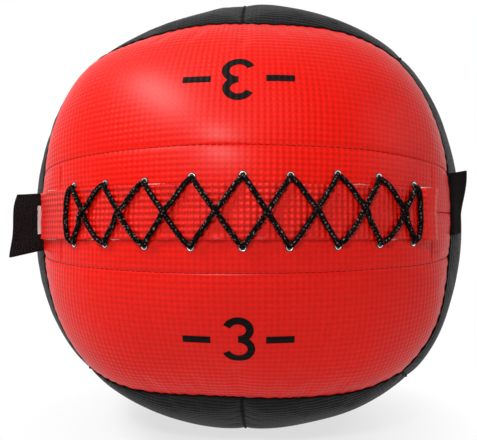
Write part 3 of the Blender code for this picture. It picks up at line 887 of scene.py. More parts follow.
EYELET_BORE_RADIUS = 0.0013
EYELET_BARREL_RADIUS = 0.0018
EYELET_FLANGE_RADIUS = 0.0026
EYELET_FLANGE_HEIGHT = 0.0008
EYELET_DEPTH = 0.0062
EYELET_PITCH_ANGLE = math.radians(9.76)
EYELET_COUNT = 9
EYELET_SIDES = 32
EYELET_INSET = 0.0012
EYELET_ROUNDING = 0.00012
EYELET_EDGE = 0.0001
EYELET_ROLL = 0.0004
DRILL_CLEARANCE = 0.0001
DRILL_LENGTH = 0.016
SLIT_SHARE = 0.012
HAND_PUNCHED = {
    "eyelet_upper_2": (0, -0.0014),
    "eyelet_upper_3": (0, -0.0022),
    "eyelet_upper_4": (0.0008, -0.0006),
    "eyelet_upper_5": (0.0014, 0),
    "eyelet_upper_7": (0, 0.0022),
    "eyelet_upper_8": (-0.0010, 0.0022),
    "eyelet_lower_1": (0, 0.0014),
    "eyelet_lower_5": (0.0012, 0),
    "eyelet_lower_6": (-0.0008, 0),
    "eyelet_lower_9": (-0.0012, 0.0006),
}


def eyelet_seat(name):
    """Where the lace turns at an eyelet, as a longitude and a rise over the slit."""
    low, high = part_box(name)
    out = unit(np.array((low + high) / 2) - ball_centre)
    along, outwards = HAND_PUNCHED.get(name, (0, 0))
    rise = math.asin(out[2]) * BALL_RADIUS
    longitude = math.atan2(out[0], -out[1]) + along / BALL_RADIUS
    return longitude, rise + math.copysign(outwards, rise * outwards)


def front_point(longitude, rise, lift=0.0):
    """A point over the laced face, at a height over the vinyl there."""
    longitude, rise = np.asarray(longitude, float), np.asarray(rise, float)
    along = longitude / SIDE_SEAM_ANGLE
    inner, outer, _, _ = PANELS["front_panel_upper"]
    out = np.abs(rise) / arc(inner(along), outer(along))
    reaches = []
    for half in HALVES:
        cover, _ = cover_points(f"front_panel_{half}", along, np.maximum(out, SLIT_SHARE))
        reaches.append(np.linalg.norm(cover - ball_centre, axis=-1))
    direction = face_direction(longitude, rise / BALL_RADIUS)
    return ball_centre + direction * (np.where(rise > 0, *reaches) + lift)[..., None]


def polished_nickel():
    mix = Recipe("polished_nickel")
    scuff = mix.grain(mix.place(), size=0.0008, detail=6.0)
    return mix.finish(
        Base_Color=mix.between(scuff, (0.92, 0.90, 0.88), (0.74, 0.72, 0.70)),
        Metallic=1.0,
        Roughness=mix.stretch(scuff, 0.3, 0.7, to_low=0.12, to_high=0.3),
        Normal=mix.relief(scuff, depth=0.00003),
    )


# The eyelets' outer rim is coloured dark as painted shade and painted dark reflection on the rolled
# flange's outer slope.
painted_dark_rim = Recipe("nickel_rim_painted_shade")
rim_mottle = painted_dark_rim.grain(painted_dark_rim.place(), size=0.0006, detail=6.0)
painted_dark_rim.finish(
    Base_Color=painted_dark_rim.between(rim_mottle, (0.030, 0.018, 0.017), (0.085, 0.050, 0.046)),
    Metallic=0.4,
    Roughness=0.6,
    Specular_IOR_Level=0.1,
    Normal=painted_dark_rim.relief(rim_mottle, depth=0.00004),
)
nickel = polished_nickel()
eyelet_profile = [
    (EYELET_BORE_RADIUS, EYELET_ROLL),
    (EYELET_BARREL_RADIUS - EYELET_EDGE, EYELET_FLANGE_HEIGHT - EYELET_EDGE),
    (EYELET_BARREL_RADIUS + 2 * EYELET_EDGE, EYELET_FLANGE_HEIGHT),
    (EYELET_FLANGE_RADIUS - EYELET_EDGE, EYELET_ROLL),
    (EYELET_FLANGE_RADIUS, EYELET_EDGE),
    (EYELET_BARREL_RADIUS, EYELET_EDGE),
    (EYELET_BARREL_RADIUS, 2 * EYELET_ROLL - EYELET_DEPTH),
    (EYELET_FLANGE_RADIUS - 3 * EYELET_EDGE, EYELET_ROLL - EYELET_DEPTH),
    (EYELET_BARREL_RADIUS, -EYELET_DEPTH),
    (EYELET_BORE_RADIUS, 3 * EYELET_EDGE - EYELET_DEPTH),
]
radius_now, height_now = eyelet_profile[-1]
deselect()
bpy.ops.mesh.primitive_circle_add(
    vertices=EYELET_SIDES, radius=radius_now, location=(0, 0, height_now)
)
pattern = apply_all(bpy.context.object)
bpy.ops.object.mode_set(mode="EDIT")
bpy.ops.mesh.select_all(action="SELECT")
for radius_next, height_next in eyelet_profile:
    rise = (0, 0, height_next - height_now)
    bpy.ops.mesh.extrude_edges_move(TRANSFORM_OT_translate={"value": rise})
    grow = radius_next / radius_now
    bpy.ops.transform.resize(value=(grow, grow, 1), center_override=(0, 0, height_next))
    radius_now, height_now = radius_next, height_next
bpy.ops.object.mode_set(mode="OBJECT")
mend(pattern, doubles=SAME_PLACE, outwards=True)
modify(pattern, "rounded", "BEVEL", width=EYELET_ROUNDING, segments=2)
apply_all(pattern)
# Faces on the outer slope of each flange take the rim's painted shade and dark reflection.
for face in pattern.data.polygons:
    off_axis = math.hypot(face.center.x, face.center.y)
    is_rim = off_axis > EYELET_BARREL_RADIUS + 2 * EYELET_EDGE and face.center.z > 0
    face.material_index = int(is_rim)

drills = {"upper": [], "lower": []}
for row in HALVES:
    for number in range(1, EYELET_COUNT + 1):
        node = f"eyelet_{row}_{number}"
        longitude, rise = eyelet_seat(node)
        rise -= math.copysign(EYELET_INSET, rise)
        seat = Vector(front_point(longitude, rise))
        out = Vector(face_direction(longitude, rise / BALL_RADIUS))
        turn = Matrix.Translation(seat) @ out.to_track_quat("Z", "Y").to_matrix().to_4x4()
        eyelet = added(f"nickel_{node}", pattern.data.copy())
        eyelet.data.transform(turn)
        shade(eyelet, nickel, painted_dark_rim.made, angle=40)
        fit(eyelet, "ball", "nickel", node)
        drills[row].append(turn)
bpy.data.objects.remove(pattern)

for row, turns in drills.items():
    cutters = []
    for turn in turns:
        bpy.ops.mesh.primitive_cylinder_add(
            vertices=24, radius=EYELET_BARREL_RADIUS + DRILL_CLEARANCE, depth=DRILL_LENGTH
        )
        cutters.append(bpy.context.object)
        cutters[-1].data.transform(turn)
    drill = joined(cutters[::-1])
    piece = panel_pieces[f"front_panel_{row}"]
    modify(piece, "punched", "BOOLEAN", operation="DIFFERENCE", object=drill)
    apply_all(piece)
    bpy.data.objects.remove(drill)

for panel, sheet in panel_pieces.items():
    is_red = panel.startswith(("front", "back"))
    shade(sheet, red_vinyl if is_red else black_vinyl)
    fit(sheet, "ball", "red_vinyl" if is_red else "black_vinyl", panel)


# Seam thread. Black polyester thread sews the panels together. A black cord laid in each joint is
# painted shadow for the seam's groove together with its dark thread. Where the filling strains a
# seam, each stitch shows as a short rung across it.

THREAD_RADIUS = 0.00026
RUNG_PITCH = 0.0039
RUNG_HALF_LENGTH = 0.0013
RUNG_DEPTH = 0.0001
SEAM_SHADOW_CORD_RADIUS = 0.0009
SEAM_SHADOW_CORD_DEPTH = 0.00015
SEAM_SHADOW_CORD_SIDES = 8
SEAM_SHADOW_CORD_STEPS = 240
SEAM_SHADOW_CORD_TAPER = 0.006
STITCHED_SHARE = 0.985
STEP_AHEAD = 0.001
BESIDE_SEAM = 1.1 * EDGE_ROLL
CLEAR_OF_FLOOR = 0.012


def thread_piece(half_length, radius):
    """One straight length of thread with rounded ends, along Z."""
    deselect()
    bpy.ops.mesh.primitive_uv_sphere_add(segments=6, ring_count=5, radius=radius)
    piece = bpy.context.object
    for side in (1, -1):
        select_vertices(piece, lambda co: co.z * side > 0)
        bpy.ops.transform.translate(value=(0, 0, side * (half_length - radius)))
        bpy.ops.object.mode_set(mode="OBJECT")
    return piece


def repeated(name, pattern, turns):
    """One mesh of many copies of a pattern, each put in its place. The pattern is used up."""
    count = len(pattern.data.vertices)
    corners = np.array([tuple(v.co) for v in pattern.data.vertices])
    faces = [tuple(f.vertices) for f in pattern.data.polygons]
    placed = [corners @ turn[:3, :3].T + turn[:3, 3] for turn in turns]
    every = [tuple(v + count * k for v in face) for k in range(len(turns)) for face in faces]
    mesh = bpy.data.meshes.new(name)
    mesh.from_pydata(np.concatenate(placed).tolist(), [], every)
    bpy.data.objects.remove(pattern)
    return added(name, mesh)


def lengths_along(points):
    """How far along a run of points each of them is."""
    steps = np.linalg.norm(np.diff(points, axis=0), axis=1)
    return np.concatenate([[0], np.cumsum(steps)])


def tube(name, middle, facing, radius, sides, closed=False):
    """A cord along a run of points. Its UV map is the length along it and the share round it."""
    if closed:
        middle, facing, radius = (np.concatenate([p, p[:1]]) for p in (middle, facing, radius))
    ahead = np.gradient(middle, axis=0)
    if closed:
        ahead[0] = ahead[-1] = middle[1] - middle[-2]
    aside = unit(np.cross(ahead, facing))
    up = unit(np.cross(aside, ahead))
    turn = np.arange(sides + 1) / sides * 2 * math.pi
    spokes = aside[:, None] * np.cos(turn)[:, None] + up[:, None] * np.sin(turn)[:, None]
    rings = middle[:, None] + spokes * radius[:, None, None]
    lengths = together(lengths_along(middle)[:, None], turn[None] / (2 * math.pi))
    return mend(grid_sheet(name, rings, lengths), doubles=SAME_PLACE, outwards=True)


def turned(point, long_way, out):
    """A place whose Z lies the long way and whose Y faces out."""
    turn = np.eye(4)
    z = unit(long_way - out * (long_way @ out))
    turn[:3, 0], turn[:3, 1], turn[:3, 2], turn[:3, 3] = np.cross(out, z), out, z, point
    return turn


def evenly(line_points, pitch):
    """Where even steps fall along a run of points, as shares of their numbering."""
    length = lengths_along(line_points)
    count = max(1, round(length[-1] / pitch))
    at = (np.arange(count) + 0.5) / count * length[-1]
    return np.interp(at, length, np.linspace(0, 1, len(length)))


def braided(name, colour, fleck):
    """Twisted or braided yarn, dark with lighter flecks, on Object coordinates."""
    mix = Recipe(name)
    yarn = mix.grain(mix.place(), size=0.0006, detail=5.0)
    return mix.finish(
        Base_Color=mix.between(mix.stretch(yarn, 0.45, 0.75), colour, fleck),
        Roughness=0.6,
        Specular_IOR_Level=0.03,
        Normal=mix.relief(yarn, depth=0.0001),
    )


def beside_seam(panel, out, along, lift=0.0):
    """Places in a seam, level with the cover just beside it, and the way out of the ball there."""
    inner, outer, _, _ = PANELS[panel]
    line = outer if out else inner
    beside = np.abs(out - BESIDE_SEAM / arc(inner(along), outer(along)))
    surface, _ = cover_points(panel, along, beside)
    reach = np.linalg.norm(surface - ball_centre, axis=-1) + lift
    return ball_centre + line(along) * reach[:, None], line(along)


black_thread = braided("black_thread", (0.002, 0.0018, 0.002), (0.012, 0.011, 0.011))
joined_inside = ("back_panel_upper", "top_panel_left", "bottom_panel_left")
joined_inside += ("left_panel_front", "right_panel_front")
seams = [(panel, 1) for panel in PANELS] + [(panel, 0) for panel in joined_inside]
rung_turns = []
for number, (panel, out) in enumerate(seams):
    line = PANELS[panel][0 if out == 0 else 1]
    along = np.linspace(-1, 1, SEAM_SHADOW_CORD_STEPS)
    middle, facing = beside_seam(panel, out, along, -SEAM_SHADOW_CORD_DEPTH)
    middle[:, 2] = np.maximum(middle[:, 2], SEAM_SHADOW_CORD_RADIUS)
    taper = np.clip((1 - np.abs(along)) / SEAM_SHADOW_CORD_TAPER, 0, 1)
    radius = SEAM_SHADOW_CORD_RADIUS * taper
    # Each cord is a dark tube along the seam's groove: painted shadow, with the thread's own black.
    cord = tube(f"seam_shadow_cord_{number + 1}", middle, facing, radius, SEAM_SHADOW_CORD_SIDES)
    shade(cord, black_thread)
    fit(cord, "ball", "black_braid")
    along = evenly(line(np.linspace(-1, 1, 400)) * BALL_RADIUS, RUNG_PITCH) * 2 - 1
    along = along[np.abs(along) < STITCHED_SHARE]
    points, facing = beside_seam(panel, out, along, -RUNG_DEPTH)
    ways = unit(line(along + STEP_AHEAD) - line(along - STEP_AHEAD))
    for point, way, out_way in zip(points, ways, facing):
        if point[2] > CLEAR_OF_FLOOR:
            rung_turns.append(turned(point, np.cross(way, out_way), out_way))
rungs = repeated("seam_thread", thread_piece(RUNG_HALF_LENGTH, THREAD_RADIUS), rung_turns)
shade(rungs, black_thread)
fit(rungs, "ball", "black_braid")


# Seam linings. At the middle of the top and bottom seams the cover gapes a little, and a sliver of
# the vinyl's pale woven back shows between the red and the black.

LINING_HALF_WIDTH = 0.0014
LINING_DEPTH = 0.0001
LINING_THICKNESS = 0.0003
LINING_STEPS = 26
LININGS = (("top", "upper", 0.115), ("bottom", "lower", 0.085))
backing = woven("vinyl_backing", (0.74, 0.66, 0.64), (0.60, 0.50, 0.48), thread=0.0006)
for place, half, last in LININGS:
    along = np.linspace(0, last, LINING_STEPS)
    middle, facing = beside_seam(f"front_panel_{half}", 1, along, -LINING_DEPTH)
    across = unit(np.cross(unit(np.gradient(middle, axis=0)), facing))
    taper = np.sin(math.pi * np.linspace(0.04, 0.96, LINING_STEPS)) ** 0.7
    width = LINING_HALF_WIDTH * taper
    spread = np.linspace(-1, 1, 5)
    points = middle[:, None] + across[:, None] * (spread * width[:, None])[..., None]
    lengths = together(along[:, None], spread[None])
    sliver = thicken(grid_sheet(f"{place}_seam_lining", points, lengths), LINING_THICKNESS)
    shade(sliver, backing)
    fit(sliver, "ball", "backing_fabric")


# Side tabs. A loop of 45 mm black webbing is pressed flat, and both of its ends are sewn into the
# side seam.

DEGREE = math.radians(1)
WEBBING_THICKNESS = 0.00125
PLY_OFFSET = 0.0007
FOLD_RADIUS = 0.0012
TAB_LENGTH = 0.022
TAB_ROOT_DEPTH = 0.0072
BEND_LENGTH = 0.0026
TAB_ROWS = 26
TAB_WAIST = 0.0007
PLY_FLARE = 3
WEBBING_HALF_WIDTH = 0.0225
RIB_PITCH = 0.0019
RIB_SLANT = 0.0028
SELVEDGE = (0.0203, 0.0206)
SELVEDGE_PITCH = 0.0009
BEND_FROM, BEND_TO = 0.0012, 0.0022
WEBBING_ROUNDING = 0.0003


def black_webbing():
    """Herringbone webbing: slanting ribs that turn back every few threads, and plain selvedges."""
    mix = Recipe("black_webbing_weave")
    run, across, _ = mix.parts("UV")
    rib = mix.wave(mix.sum("ADD", run, mix.sum("PINGPONG", across, RIB_SLANT)), RIB_PITCH)
    is_edge = mix.stretch(mix.sum("ABSOLUTE", across), *SELVEDGE)
    cord = mix.wave(across, SELVEDGE_PITCH)
    inside = mix.sum("MULTIPLY", rib, mix.sum("SUBTRACT", 1.0, is_edge))
    weave = mix.sum("MULTIPLY_ADD", cord, is_edge, inside)
    lint = mix.grain(mix.place(), size=0.0009, detail=6.0)
    shown = mix.sum("MULTIPLY_ADD", weave, 0.3, lint)
    return mix.finish(
        Base_Color=mix.between(
            mix.stretch(shown, 0.42, 0.95), (0.0024, 0.0012, 0.0016), (0.034, 0.024, 0.026)
        ),
        Roughness=0.8,
        Specular_IOR_Level=0.03,
        Normal=mix.relief(weave, depth=0.00028),
    )


def webbing_loop(side, x_sign, leans, lengths, seam_span, fold_span, sway):
    """The loop as one mesh, from one sewn end round the fold to the other, sewn in askew."""
    joint = next(j for j in frame["record"]["behaviour"]["joints"] if j["child"] == f"{side}_tab")
    centre, up = np.array(joint["pos_m"]), unit(np.array(joint["axis"], float))
    outwards = centre - ball_centre
    outwards = unit(outwards - up * (outwards @ up))
    forwards = np.cross(up, outwards)
    middle_height = centre[2] - ball_height
    rows = []
    for row in range(TAB_ROWS + 1):
        share = row / TAB_ROWS
        lean = leans[0] + (leans[1] - leans[0]) * share + sway * math.sin(2 * math.pi * share)
        length = lengths[0] + (lengths[1] - lengths[0]) * share
        length -= TAB_WAIST * (1 - math.cos(2 * math.pi * share)) / 2
        bend = BEND_LENGTH / lean
        tuck = bend * math.tan(lean / 2)
        middle = [(x, 0.0, 0.0) for x in np.linspace(-TAB_ROOT_DEPTH, -tuck, 5)[:-1]]
        for angle in np.linspace(0, lean, 7):
            middle.append((bend * math.sin(angle) - tuck, bend * (1 - math.cos(angle)), angle))
        for run in np.linspace(tuck, length - FOLD_RADIUS - WEBBING_THICKNESS / 2, 9)[1:]:
            middle.append((run * math.cos(lean), run * math.sin(lean), lean))
        near, far = [], []
        for number, (x, y, heading) in enumerate(middle, start=PLY_FLARE + 1 - len(middle)):
            flare = max(0, number / PLY_FLARE) ** 2
            opened = PLY_OFFSET + (FOLD_RADIUS - PLY_OFFSET) * flare
            aside = np.array([-math.sin(heading), math.cos(heading)])
            near.append(np.array([x, y]) - aside * opened)
            far.append(np.array([x, y]) + aside * opened)
        angles = lean + np.linspace(-math.pi / 2, math.pi / 2, 9)[1:-1]
        fold = np.array(middle[-1][:2]) + together(np.cos(angles), np.sin(angles)) * FOLD_RADIUS
        path = np.array([*near, *fold, *far[::-1]])
        path[:, 1] *= x_sign
        reach = np.clip(np.linalg.norm(path, axis=1) * np.sign(path[:, 0]) / TAB_LENGTH, 0, 1)
        low = seam_span[0] + (fold_span[0] - seam_span[0]) * reach
        high = seam_span[1] + (fold_span[1] - seam_span[1]) * reach
        height = low + (high - low) * share - middle_height
        rows.append(
            centre + path[:, :1] * outwards + path[:, 1:] * forwards + height[:, None] * up
        )
    points = np.array(rows)
    width = np.linspace(-WEBBING_HALF_WIDTH, WEBBING_HALF_WIDTH, TAB_ROWS + 1)
    on_cloth = together(lengths_along(points[TAB_ROWS // 2])[None], width[:, None])
    loop = grid_sheet(f"{side}_webbing_tab", points, on_cloth)
    modify(loop, "wall", "SOLIDIFY", thickness=WEBBING_THICKNESS, offset=0)
    sharp_only = {"limit_method": "ANGLE", "angle_limit": 1.2}
    modify(loop, "soft_edges", "BEVEL", width=WEBBING_ROUNDING, segments=2, **sharp_only)
    mend(apply_all(loop), outwards=True)
    shade(loop, webbing)
    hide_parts(f"{side}_tab", f"{side}_tab_root")
    start, end = centre - outwards * BEND_FROM, centre + outwards * BEND_TO
    tuple(start)
    tuple(end)
    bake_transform(loop)


webbing = black_webbing()
webbing_loop(
    side="left",
    x_sign=-1,
    leans=(6 * DEGREE, 44 * DEGREE),
    lengths=(0.0215, 0.0192),
    seam_span=(-0.0272, 0.0152),
    fold_span=(-0.0316, 0.0150),
    sway=8 * DEGREE,
)
webbing_loop(
    side="right",
    x_sign=1,
    leans=(88 * DEGREE, 75 * DEGREE),
    lengths=(0.0158, 0.0218),
    seam_span=(-0.0155, 0.0290),
    fold_span=(-0.0140, 0.0318),
    sway=3 * DEGREE,
)


# Eyelet facings. Two strips of plain cloth are sewn inside the lips of the slit, so that the
# eyelets have more than the vinyl to hold on to. They are the part's own solids.

facing_cloth = woven("facing_cloth", (0.66, 0.63, 0.58), (0.52, 0.49, 0.45), thread=0.0006)
for half in HALVES:
    for slot in frame["nodes"][f"{half}_eyelet_facing"].material_slots:
        slot.material = facing_cloth


# Cover strip. A strip of the same red vinyl hides the slit behind the lacing. Its left end is sewn
# into the seam, its raw edges curl and fray, and its free right end is turned under and stands off.

STRIP_HALF_WIDTH = 0.0163
CLOSURE_RISE = -0.0018
STRIP_THICKNESS = 0.0011
STRIP_CLEARANCE = 0.0006
STRIP_FROM_SEAM = 0.0026
STRIP_START = -SIDE_SEAM_ANGLE + STRIP_FROM_SEAM / BALL_RADIUS
STRIP_TUCK = 0.0020
STRIP_TUCK_LENGTH = 0.016
STRIP_END = math.radians(45.2)
STRIP_HEM = 0.0075
HEM_RISE = 0.0021
END_LIFT = 0.0026
END_LIFT_LENGTH = 0.017
END_LIFT_CURVE = 1.6
CURL_HEIGHT = 0.0013
CURL_WAVES = 31
CURL_WANDER = 13
CURL_PHASE = 1.9
FULL_CURL_TO = math.radians(-33)
PILLOW_HEIGHT = 0.0004
CUT_RAG = 0.00035
RAG_SIZE = 0.0035
HEM_RAMP = 0.0045
STRIP_EMBOSS_DEPTH = 0.0014
LACE_RADIUS = 0.0017
LACE_DENT = 0.00028
LACE_DENT_REACH = 0.0024
LACE_HOLD_REACH = 0.0045
STRIP_RUN = (STRIP_END - STRIP_START) * BALL_RADIUS
TURN_RUN = math.pi * HEM_RISE / 2
STRIP_STEPS = 250
STRIP_ROWS = 33
ROWS_TO_EDGES = 1.4
RAG_FROM = 0.98


def zigzag(first):
    """The eyelets from left to right, in the two rows by turns."""
    return [f"eyelet_{HALVES[(n + first) % 2]}_{n + 1}" for n in range(EYELET_COUNT)]


def lace_stations():
    """The eyelets in the lace's order: out along one zigzag and back along the other."""
    return [eyelet_seat(name) for name in zigzag(0) + zigzag(1)[::-1]]


def from_lace(longitude, rise):
    """How far a place on the laced face is from the nearest straight leg of the lace."""
    stations = lace_stations()
    nearest = np.full(np.shape(longitude), 1.0)
    x = longitude * BALL_RADIUS
    for (a, b), (c, d) in zip(stations, stations[1:] + stations[:1]):
        if abs(a - c) < EYELET_PITCH_ANGLE / 2:
            continue
        ax, cx = a * BALL_RADIUS, c * BALL_RADIUS
        share = ((x - ax) * (cx - ax) + (rise - b) * (d - b)) / ((cx - ax) ** 2 + (d - b) ** 2)
        share = np.clip(share, 0, 1)
        gap = np.hypot(x - ax - share * (cx - ax), rise - b - share * (d - b))
        nearest = np.minimum(nearest, gap)
    return nearest


def end_lift(longitude):
    """How far the stiff free end of the strip stands off the ball."""
    to_end = (STRIP_END - longitude) * BALL_RADIUS
    return END_LIFT * np.clip(1 - to_end / END_LIFT_LENGTH, 0, 1) ** END_LIFT_CURVE


def strip_lift(longitude, rise):
    """The height of the strip's middle layer over the cover."""
    aside = rise - CLOSURE_RISE
    edge = np.clip(np.abs(aside) / STRIP_HALF_WIDTH, 0, 1)
    phase = np.sign(aside) * CURL_PHASE + np.sin(longitude * CURL_WANDER)
    wave = 0.5 + 0.5 * np.sin(longitude * CURL_WAVES + phase)
    wave = np.where((aside < 0) & (longitude < FULL_CURL_TO), 1.0, wave)
    gap = from_lace(longitude, rise)
    free = 1 - np.exp(-((gap / LACE_HOLD_REACH) ** 2))
    curl = CURL_HEIGHT * edge**5 * wave * free
    pillow = PILLOW_HEIGHT * (1 - edge**2) * free
    dent = LACE_DENT * np.exp(-((gap / LACE_DENT_REACH) ** 2))
    to_end = (STRIP_END - longitude) * BALL_RADIUS
    hem = HEM_RISE * np.clip((STRIP_HEM + HEM_RAMP - to_end) / HEM_RAMP, 0, 1)
    hem = hem * hem * (3 * HEM_RISE - 2 * hem) / HEM_RISE**2
    from_start = (longitude - STRIP_START) * BALL_RADIUS
    tuck = STRIP_TUCK * np.clip(1 - from_start / STRIP_TUCK_LENGTH, 0, 1) ** 2
    height = STRIP_CLEARANCE + STRIP_THICKNESS / 2 + end_lift(longitude)
    return height + curl + pillow - dent + hem - tuck


def strip_points(run, rise):
    """Places on the strip, by the length along it: over, round the turned end, and back under."""
    past = run - STRIP_RUN
    angle = np.clip(past / TURN_RUN, 0, 1) * math.pi
    under = np.maximum(0, past - TURN_RUN)
    ahead = np.minimum(run, STRIP_RUN) + HEM_RISE / 2 * np.sin(angle) - under
    longitude = STRIP_START + ahead / BALL_RADIUS
    top = strip_lift(np.minimum(longitude, STRIP_END), rise)
    drop = HEM_RISE / 2 * (1 - np.cos(angle))
    flat = STRIP_CLEARANCE + STRIP_THICKNESS / 2 + end_lift(longitude)
    lift = np.where(past > TURN_RUN, flat, top - drop)
    return front_point(longitude, rise, lift)


strip_vinyl = vinyl(
    "cover_strip_vinyl",
    REDS,
    roughness=0.34,
    gloss=0.10,
    coat=0.28,
    depth=STRIP_EMBOSS_DEPTH,
    crease=STRIP_END * BALL_RADIUS,
)
over_slit = np.linspace(0, STRIP_RUN, STRIP_STEPS)[:-1]
round_end = STRIP_RUN + np.linspace(0, TURN_RUN, 8)[:-1]
turned_under = STRIP_RUN + TURN_RUN + np.linspace(0, STRIP_HEM, 8)
runs = np.concatenate([over_slit, round_end, turned_under])
rises = np.linspace(-1, 1, STRIP_ROWS)
rises = STRIP_HALF_WIDTH * np.sign(rises) * (1 - (1 - np.abs(rises)) ** ROWS_TO_EDGES)
run_grid, rise_grid = np.meshgrid(runs, rises)
ragged = CUT_RAG * np.array([noise.noise(Vector((run / RAG_SIZE, 7, 3))) for run in runs])
at_edge = np.abs(rise_grid) > RAG_FROM * STRIP_HALF_WIDTH
worn = np.where(at_edge, ragged * np.sign(rise_grid), 0)
strip = grid_sheet(
    "slit_cover_strip",
    strip_points(run_grid, CLOSURE_RISE + rise_grid + worn),
    np.stack([run_grid + STRIP_START * BALL_RADIUS, rise_grid], axis=-1),
)
modify(strip, "wall", "SOLIDIFY", thickness=STRIP_THICKNESS, offset=0)
shade(apply_all(strip), strip_vinyl)
fit(strip, "ball", "red_vinyl", "closure_cover_strip")


# Strip backing. The strip's pale woven back frays out past its cut edges in a few places, and at
# the left its cut end stands up out of the side seam, between the red panel and the tab.

FRAY_LENGTH = 0.0009
FRAY_HIDDEN = 0.0007
FRAY_GRAIN = 260
BACKING_THICKNESS = 0.0003
BACKING_STEPS = 420
BACKING_FROM, BACKING_TO = STRIP_START + 0.02, STRIP_END - 0.01
CUT_END = (-0.0148, 0.0059)
CUT_END_HEIGHT = 0.0029
CUT_END_THICKNESS = 0.0009
CUT_END_DEPTH = 0.003
CUT_END_GRAIN = 400
FRAYED = {
    1: ((-54, -44), (-22, -13), (22, 29), (40, 45)),
    -1: ((-54, -44), (-33.5, -31.5), (-27.5, -24), (31, 35.5)),
}


def frayed_half_width(longitude, side):
    """How wide the backing is on one side of the slit, ragged where it has frayed."""
    showing = np.zeros(longitude.shape)
    for first, last in FRAYED[side]:
        share = np.clip((np.degrees(longitude) - first) / (last - first), 0, 1)
        showing = np.maximum(showing, np.sin(math.pi * share) ** 0.5)
    rag = [0.7 + 0.6 * noise.noise(Vector((at * FRAY_GRAIN, side, 2))) for at in longitude]
    return STRIP_HALF_WIDTH - FRAY_HIDDEN + (FRAY_HIDDEN + FRAY_LENGTH * np.array(rag)) * showing


longitude = np.linspace(BACKING_FROM, BACKING_TO, BACKING_STEPS)
spread = np.linspace(-1, 1, 17)
both_sides = [frayed_half_width(longitude, side) for side in (1, -1)]
half_width = np.where(spread[:, None] > 0, *both_sides)
longitude = np.broadcast_to(longitude, half_width.shape)
rise = CLOSURE_RISE + spread[:, None] * half_width
on_strip = CLOSURE_RISE + np.clip(rise - CLOSURE_RISE, -STRIP_HALF_WIDTH, STRIP_HALF_WIDTH)
under_vinyl = STRIP_THICKNESS / 2 + BACKING_THICKNESS * 0.7
backing_sheet = grid_sheet(
    "strip_backing",
    front_point(longitude, rise, strip_lift(longitude, on_strip) - under_vinyl),
    np.stack([longitude * BALL_RADIUS, rise], axis=-1),
)
shade(thicken(backing_sheet, BACKING_THICKNESS), backing)
fit(backing_sheet, "ball", "backing_fabric")

cut_rise = np.linspace(*CUT_END, 24)
cut_out = np.linspace(-CUT_END_DEPTH, 1, 6)
rag = [0.95 + 0.12 * noise.noise(Vector((at * CUT_END_GRAIN, 4, 1))) for at in cut_rise]
direction = face_direction(STRIP_START, cut_rise / BALL_RADIUS)
reach = form_radius(direction)[:, None] - SEAM_DIP
reach = reach + np.where(cut_out > 0, cut_out * CUT_END_HEIGHT * np.array(rag)[:, None], cut_out)
cut_end = grid_sheet(
    "strip_cut_end",
    ball_centre + direction[:, None] * reach[..., None],
    together(cut_rise[:, None], cut_out[None]),
)
shade(thicken(cut_end, CUT_END_THICKNESS), backing)
fit(cut_end, "ball", "backing_fabric")


# Top-stitching. Two rows of dark red stitches, one above and one below the slit, hold the facing
# strips. Short upright rows at both ends join each row to the cover strip.

STITCH_PITCH = 0.004
STITCH_HALF_LENGTH = 0.0016
STITCH_SINK = 0.0001
STITCH_RADIUS = 0.0003
BAR_SHORT = 0.002
ROW_STEPS = 300
BAR_STEPS = 60


def stitch_row(panel, along, out):
    """Stitches end to end along a line on a panel."""
    points, _ = cover_points(panel, along, out)
    numbers = np.linspace(0, 1, len(along))
    for share in evenly(points, STITCH_PITCH):
        near = np.array([share, share + 2 * STEP_AHEAD])
        at = np.interp(near, numbers, along), np.interp(near, numbers, out)
        here, _ = cover_points(panel, *at, -STITCH_SINK)
        yield turned(here[0], here[1] - here[0], unit(here[0] - ball_centre))


stitch_turns = []
for half in HALVES:
    panel = f"front_panel_{half}"
    inner, outer, _, _ = PANELS[panel]
    along = np.linspace(-STITCHED_SHARE, STITCHED_SHARE, ROW_STEPS)
    stitch_turns += stitch_row(panel, along, np.full(ROW_STEPS, row_share(panel)))
    for bar in BAR_SHARES:
        height = float(arc(inner(bar), outer(bar)))
        strip_edge = STRIP_HALF_WIDTH + (CLOSURE_RISE if half == "upper" else -CLOSURE_RISE)
        up = np.linspace(strip_edge / height, row_share(panel) - BAR_SHORT / height, BAR_STEPS)
        stitch_turns += stitch_row(panel, np.full(BAR_STEPS, bar), up)
dark_thread = braided("stitching_thread", (0.06, 0.006, 0.005), (0.16, 0.02, 0.016))
pattern = thread_piece(STITCH_HALF_LENGTH, STITCH_RADIUS)
stitching = repeated("top_stitching", pattern, stitch_turns)
shade(stitching, dark_thread)
fit(stitching, "ball", "black_braid")


# Lace. One round black braid runs in crosses over the cover strip, hooked through the eyelets, and
# it pulls the slit shut. A bar at each end of the lacing closes its run.

LACE_SIDES = 16
BRAID_PITCH = 0.0042
STRANDS_ROUND = 2
LACE_STEP = 0.0011
LACE_HUMP = 0.0030
LACE_HUMP_HALF_LENGTH = 0.0085
LACE_BAR_BOW = {-1: 0.0056, 1: 0.0034}
LOOSE_BOW = 0.0032
LOOSE_FROM, LOOSE_TO = math.radians(10), math.radians(38)
HOOK_INSET = 0.0013
HOOK_REACH = 0.0034
HOOK_SINK = 0.0013
HOOK_SQUEEZE = 0.1
PRESSED = 0.94
STRIP_EDGE_FALL = 0.0022
APEX_SMOOTHING = 3
BAR_CURVE = 0.8
LEG_CURVE = 1.7


def over_cover(longitude, rise):
    """The height at which the lace's middle lies where nothing but cover and strip is under it."""
    on_panel = LACE_RADIUS * PRESSED
    on_strip = strip_lift(longitude, rise) + STRIP_THICKNESS / 2 + on_panel
    past = (np.abs(rise - CLOSURE_RISE) - STRIP_HALF_WIDTH) / STRIP_EDGE_FALL
    return on_strip + (on_panel - on_strip) * np.clip(past, 0, 1) ** 2


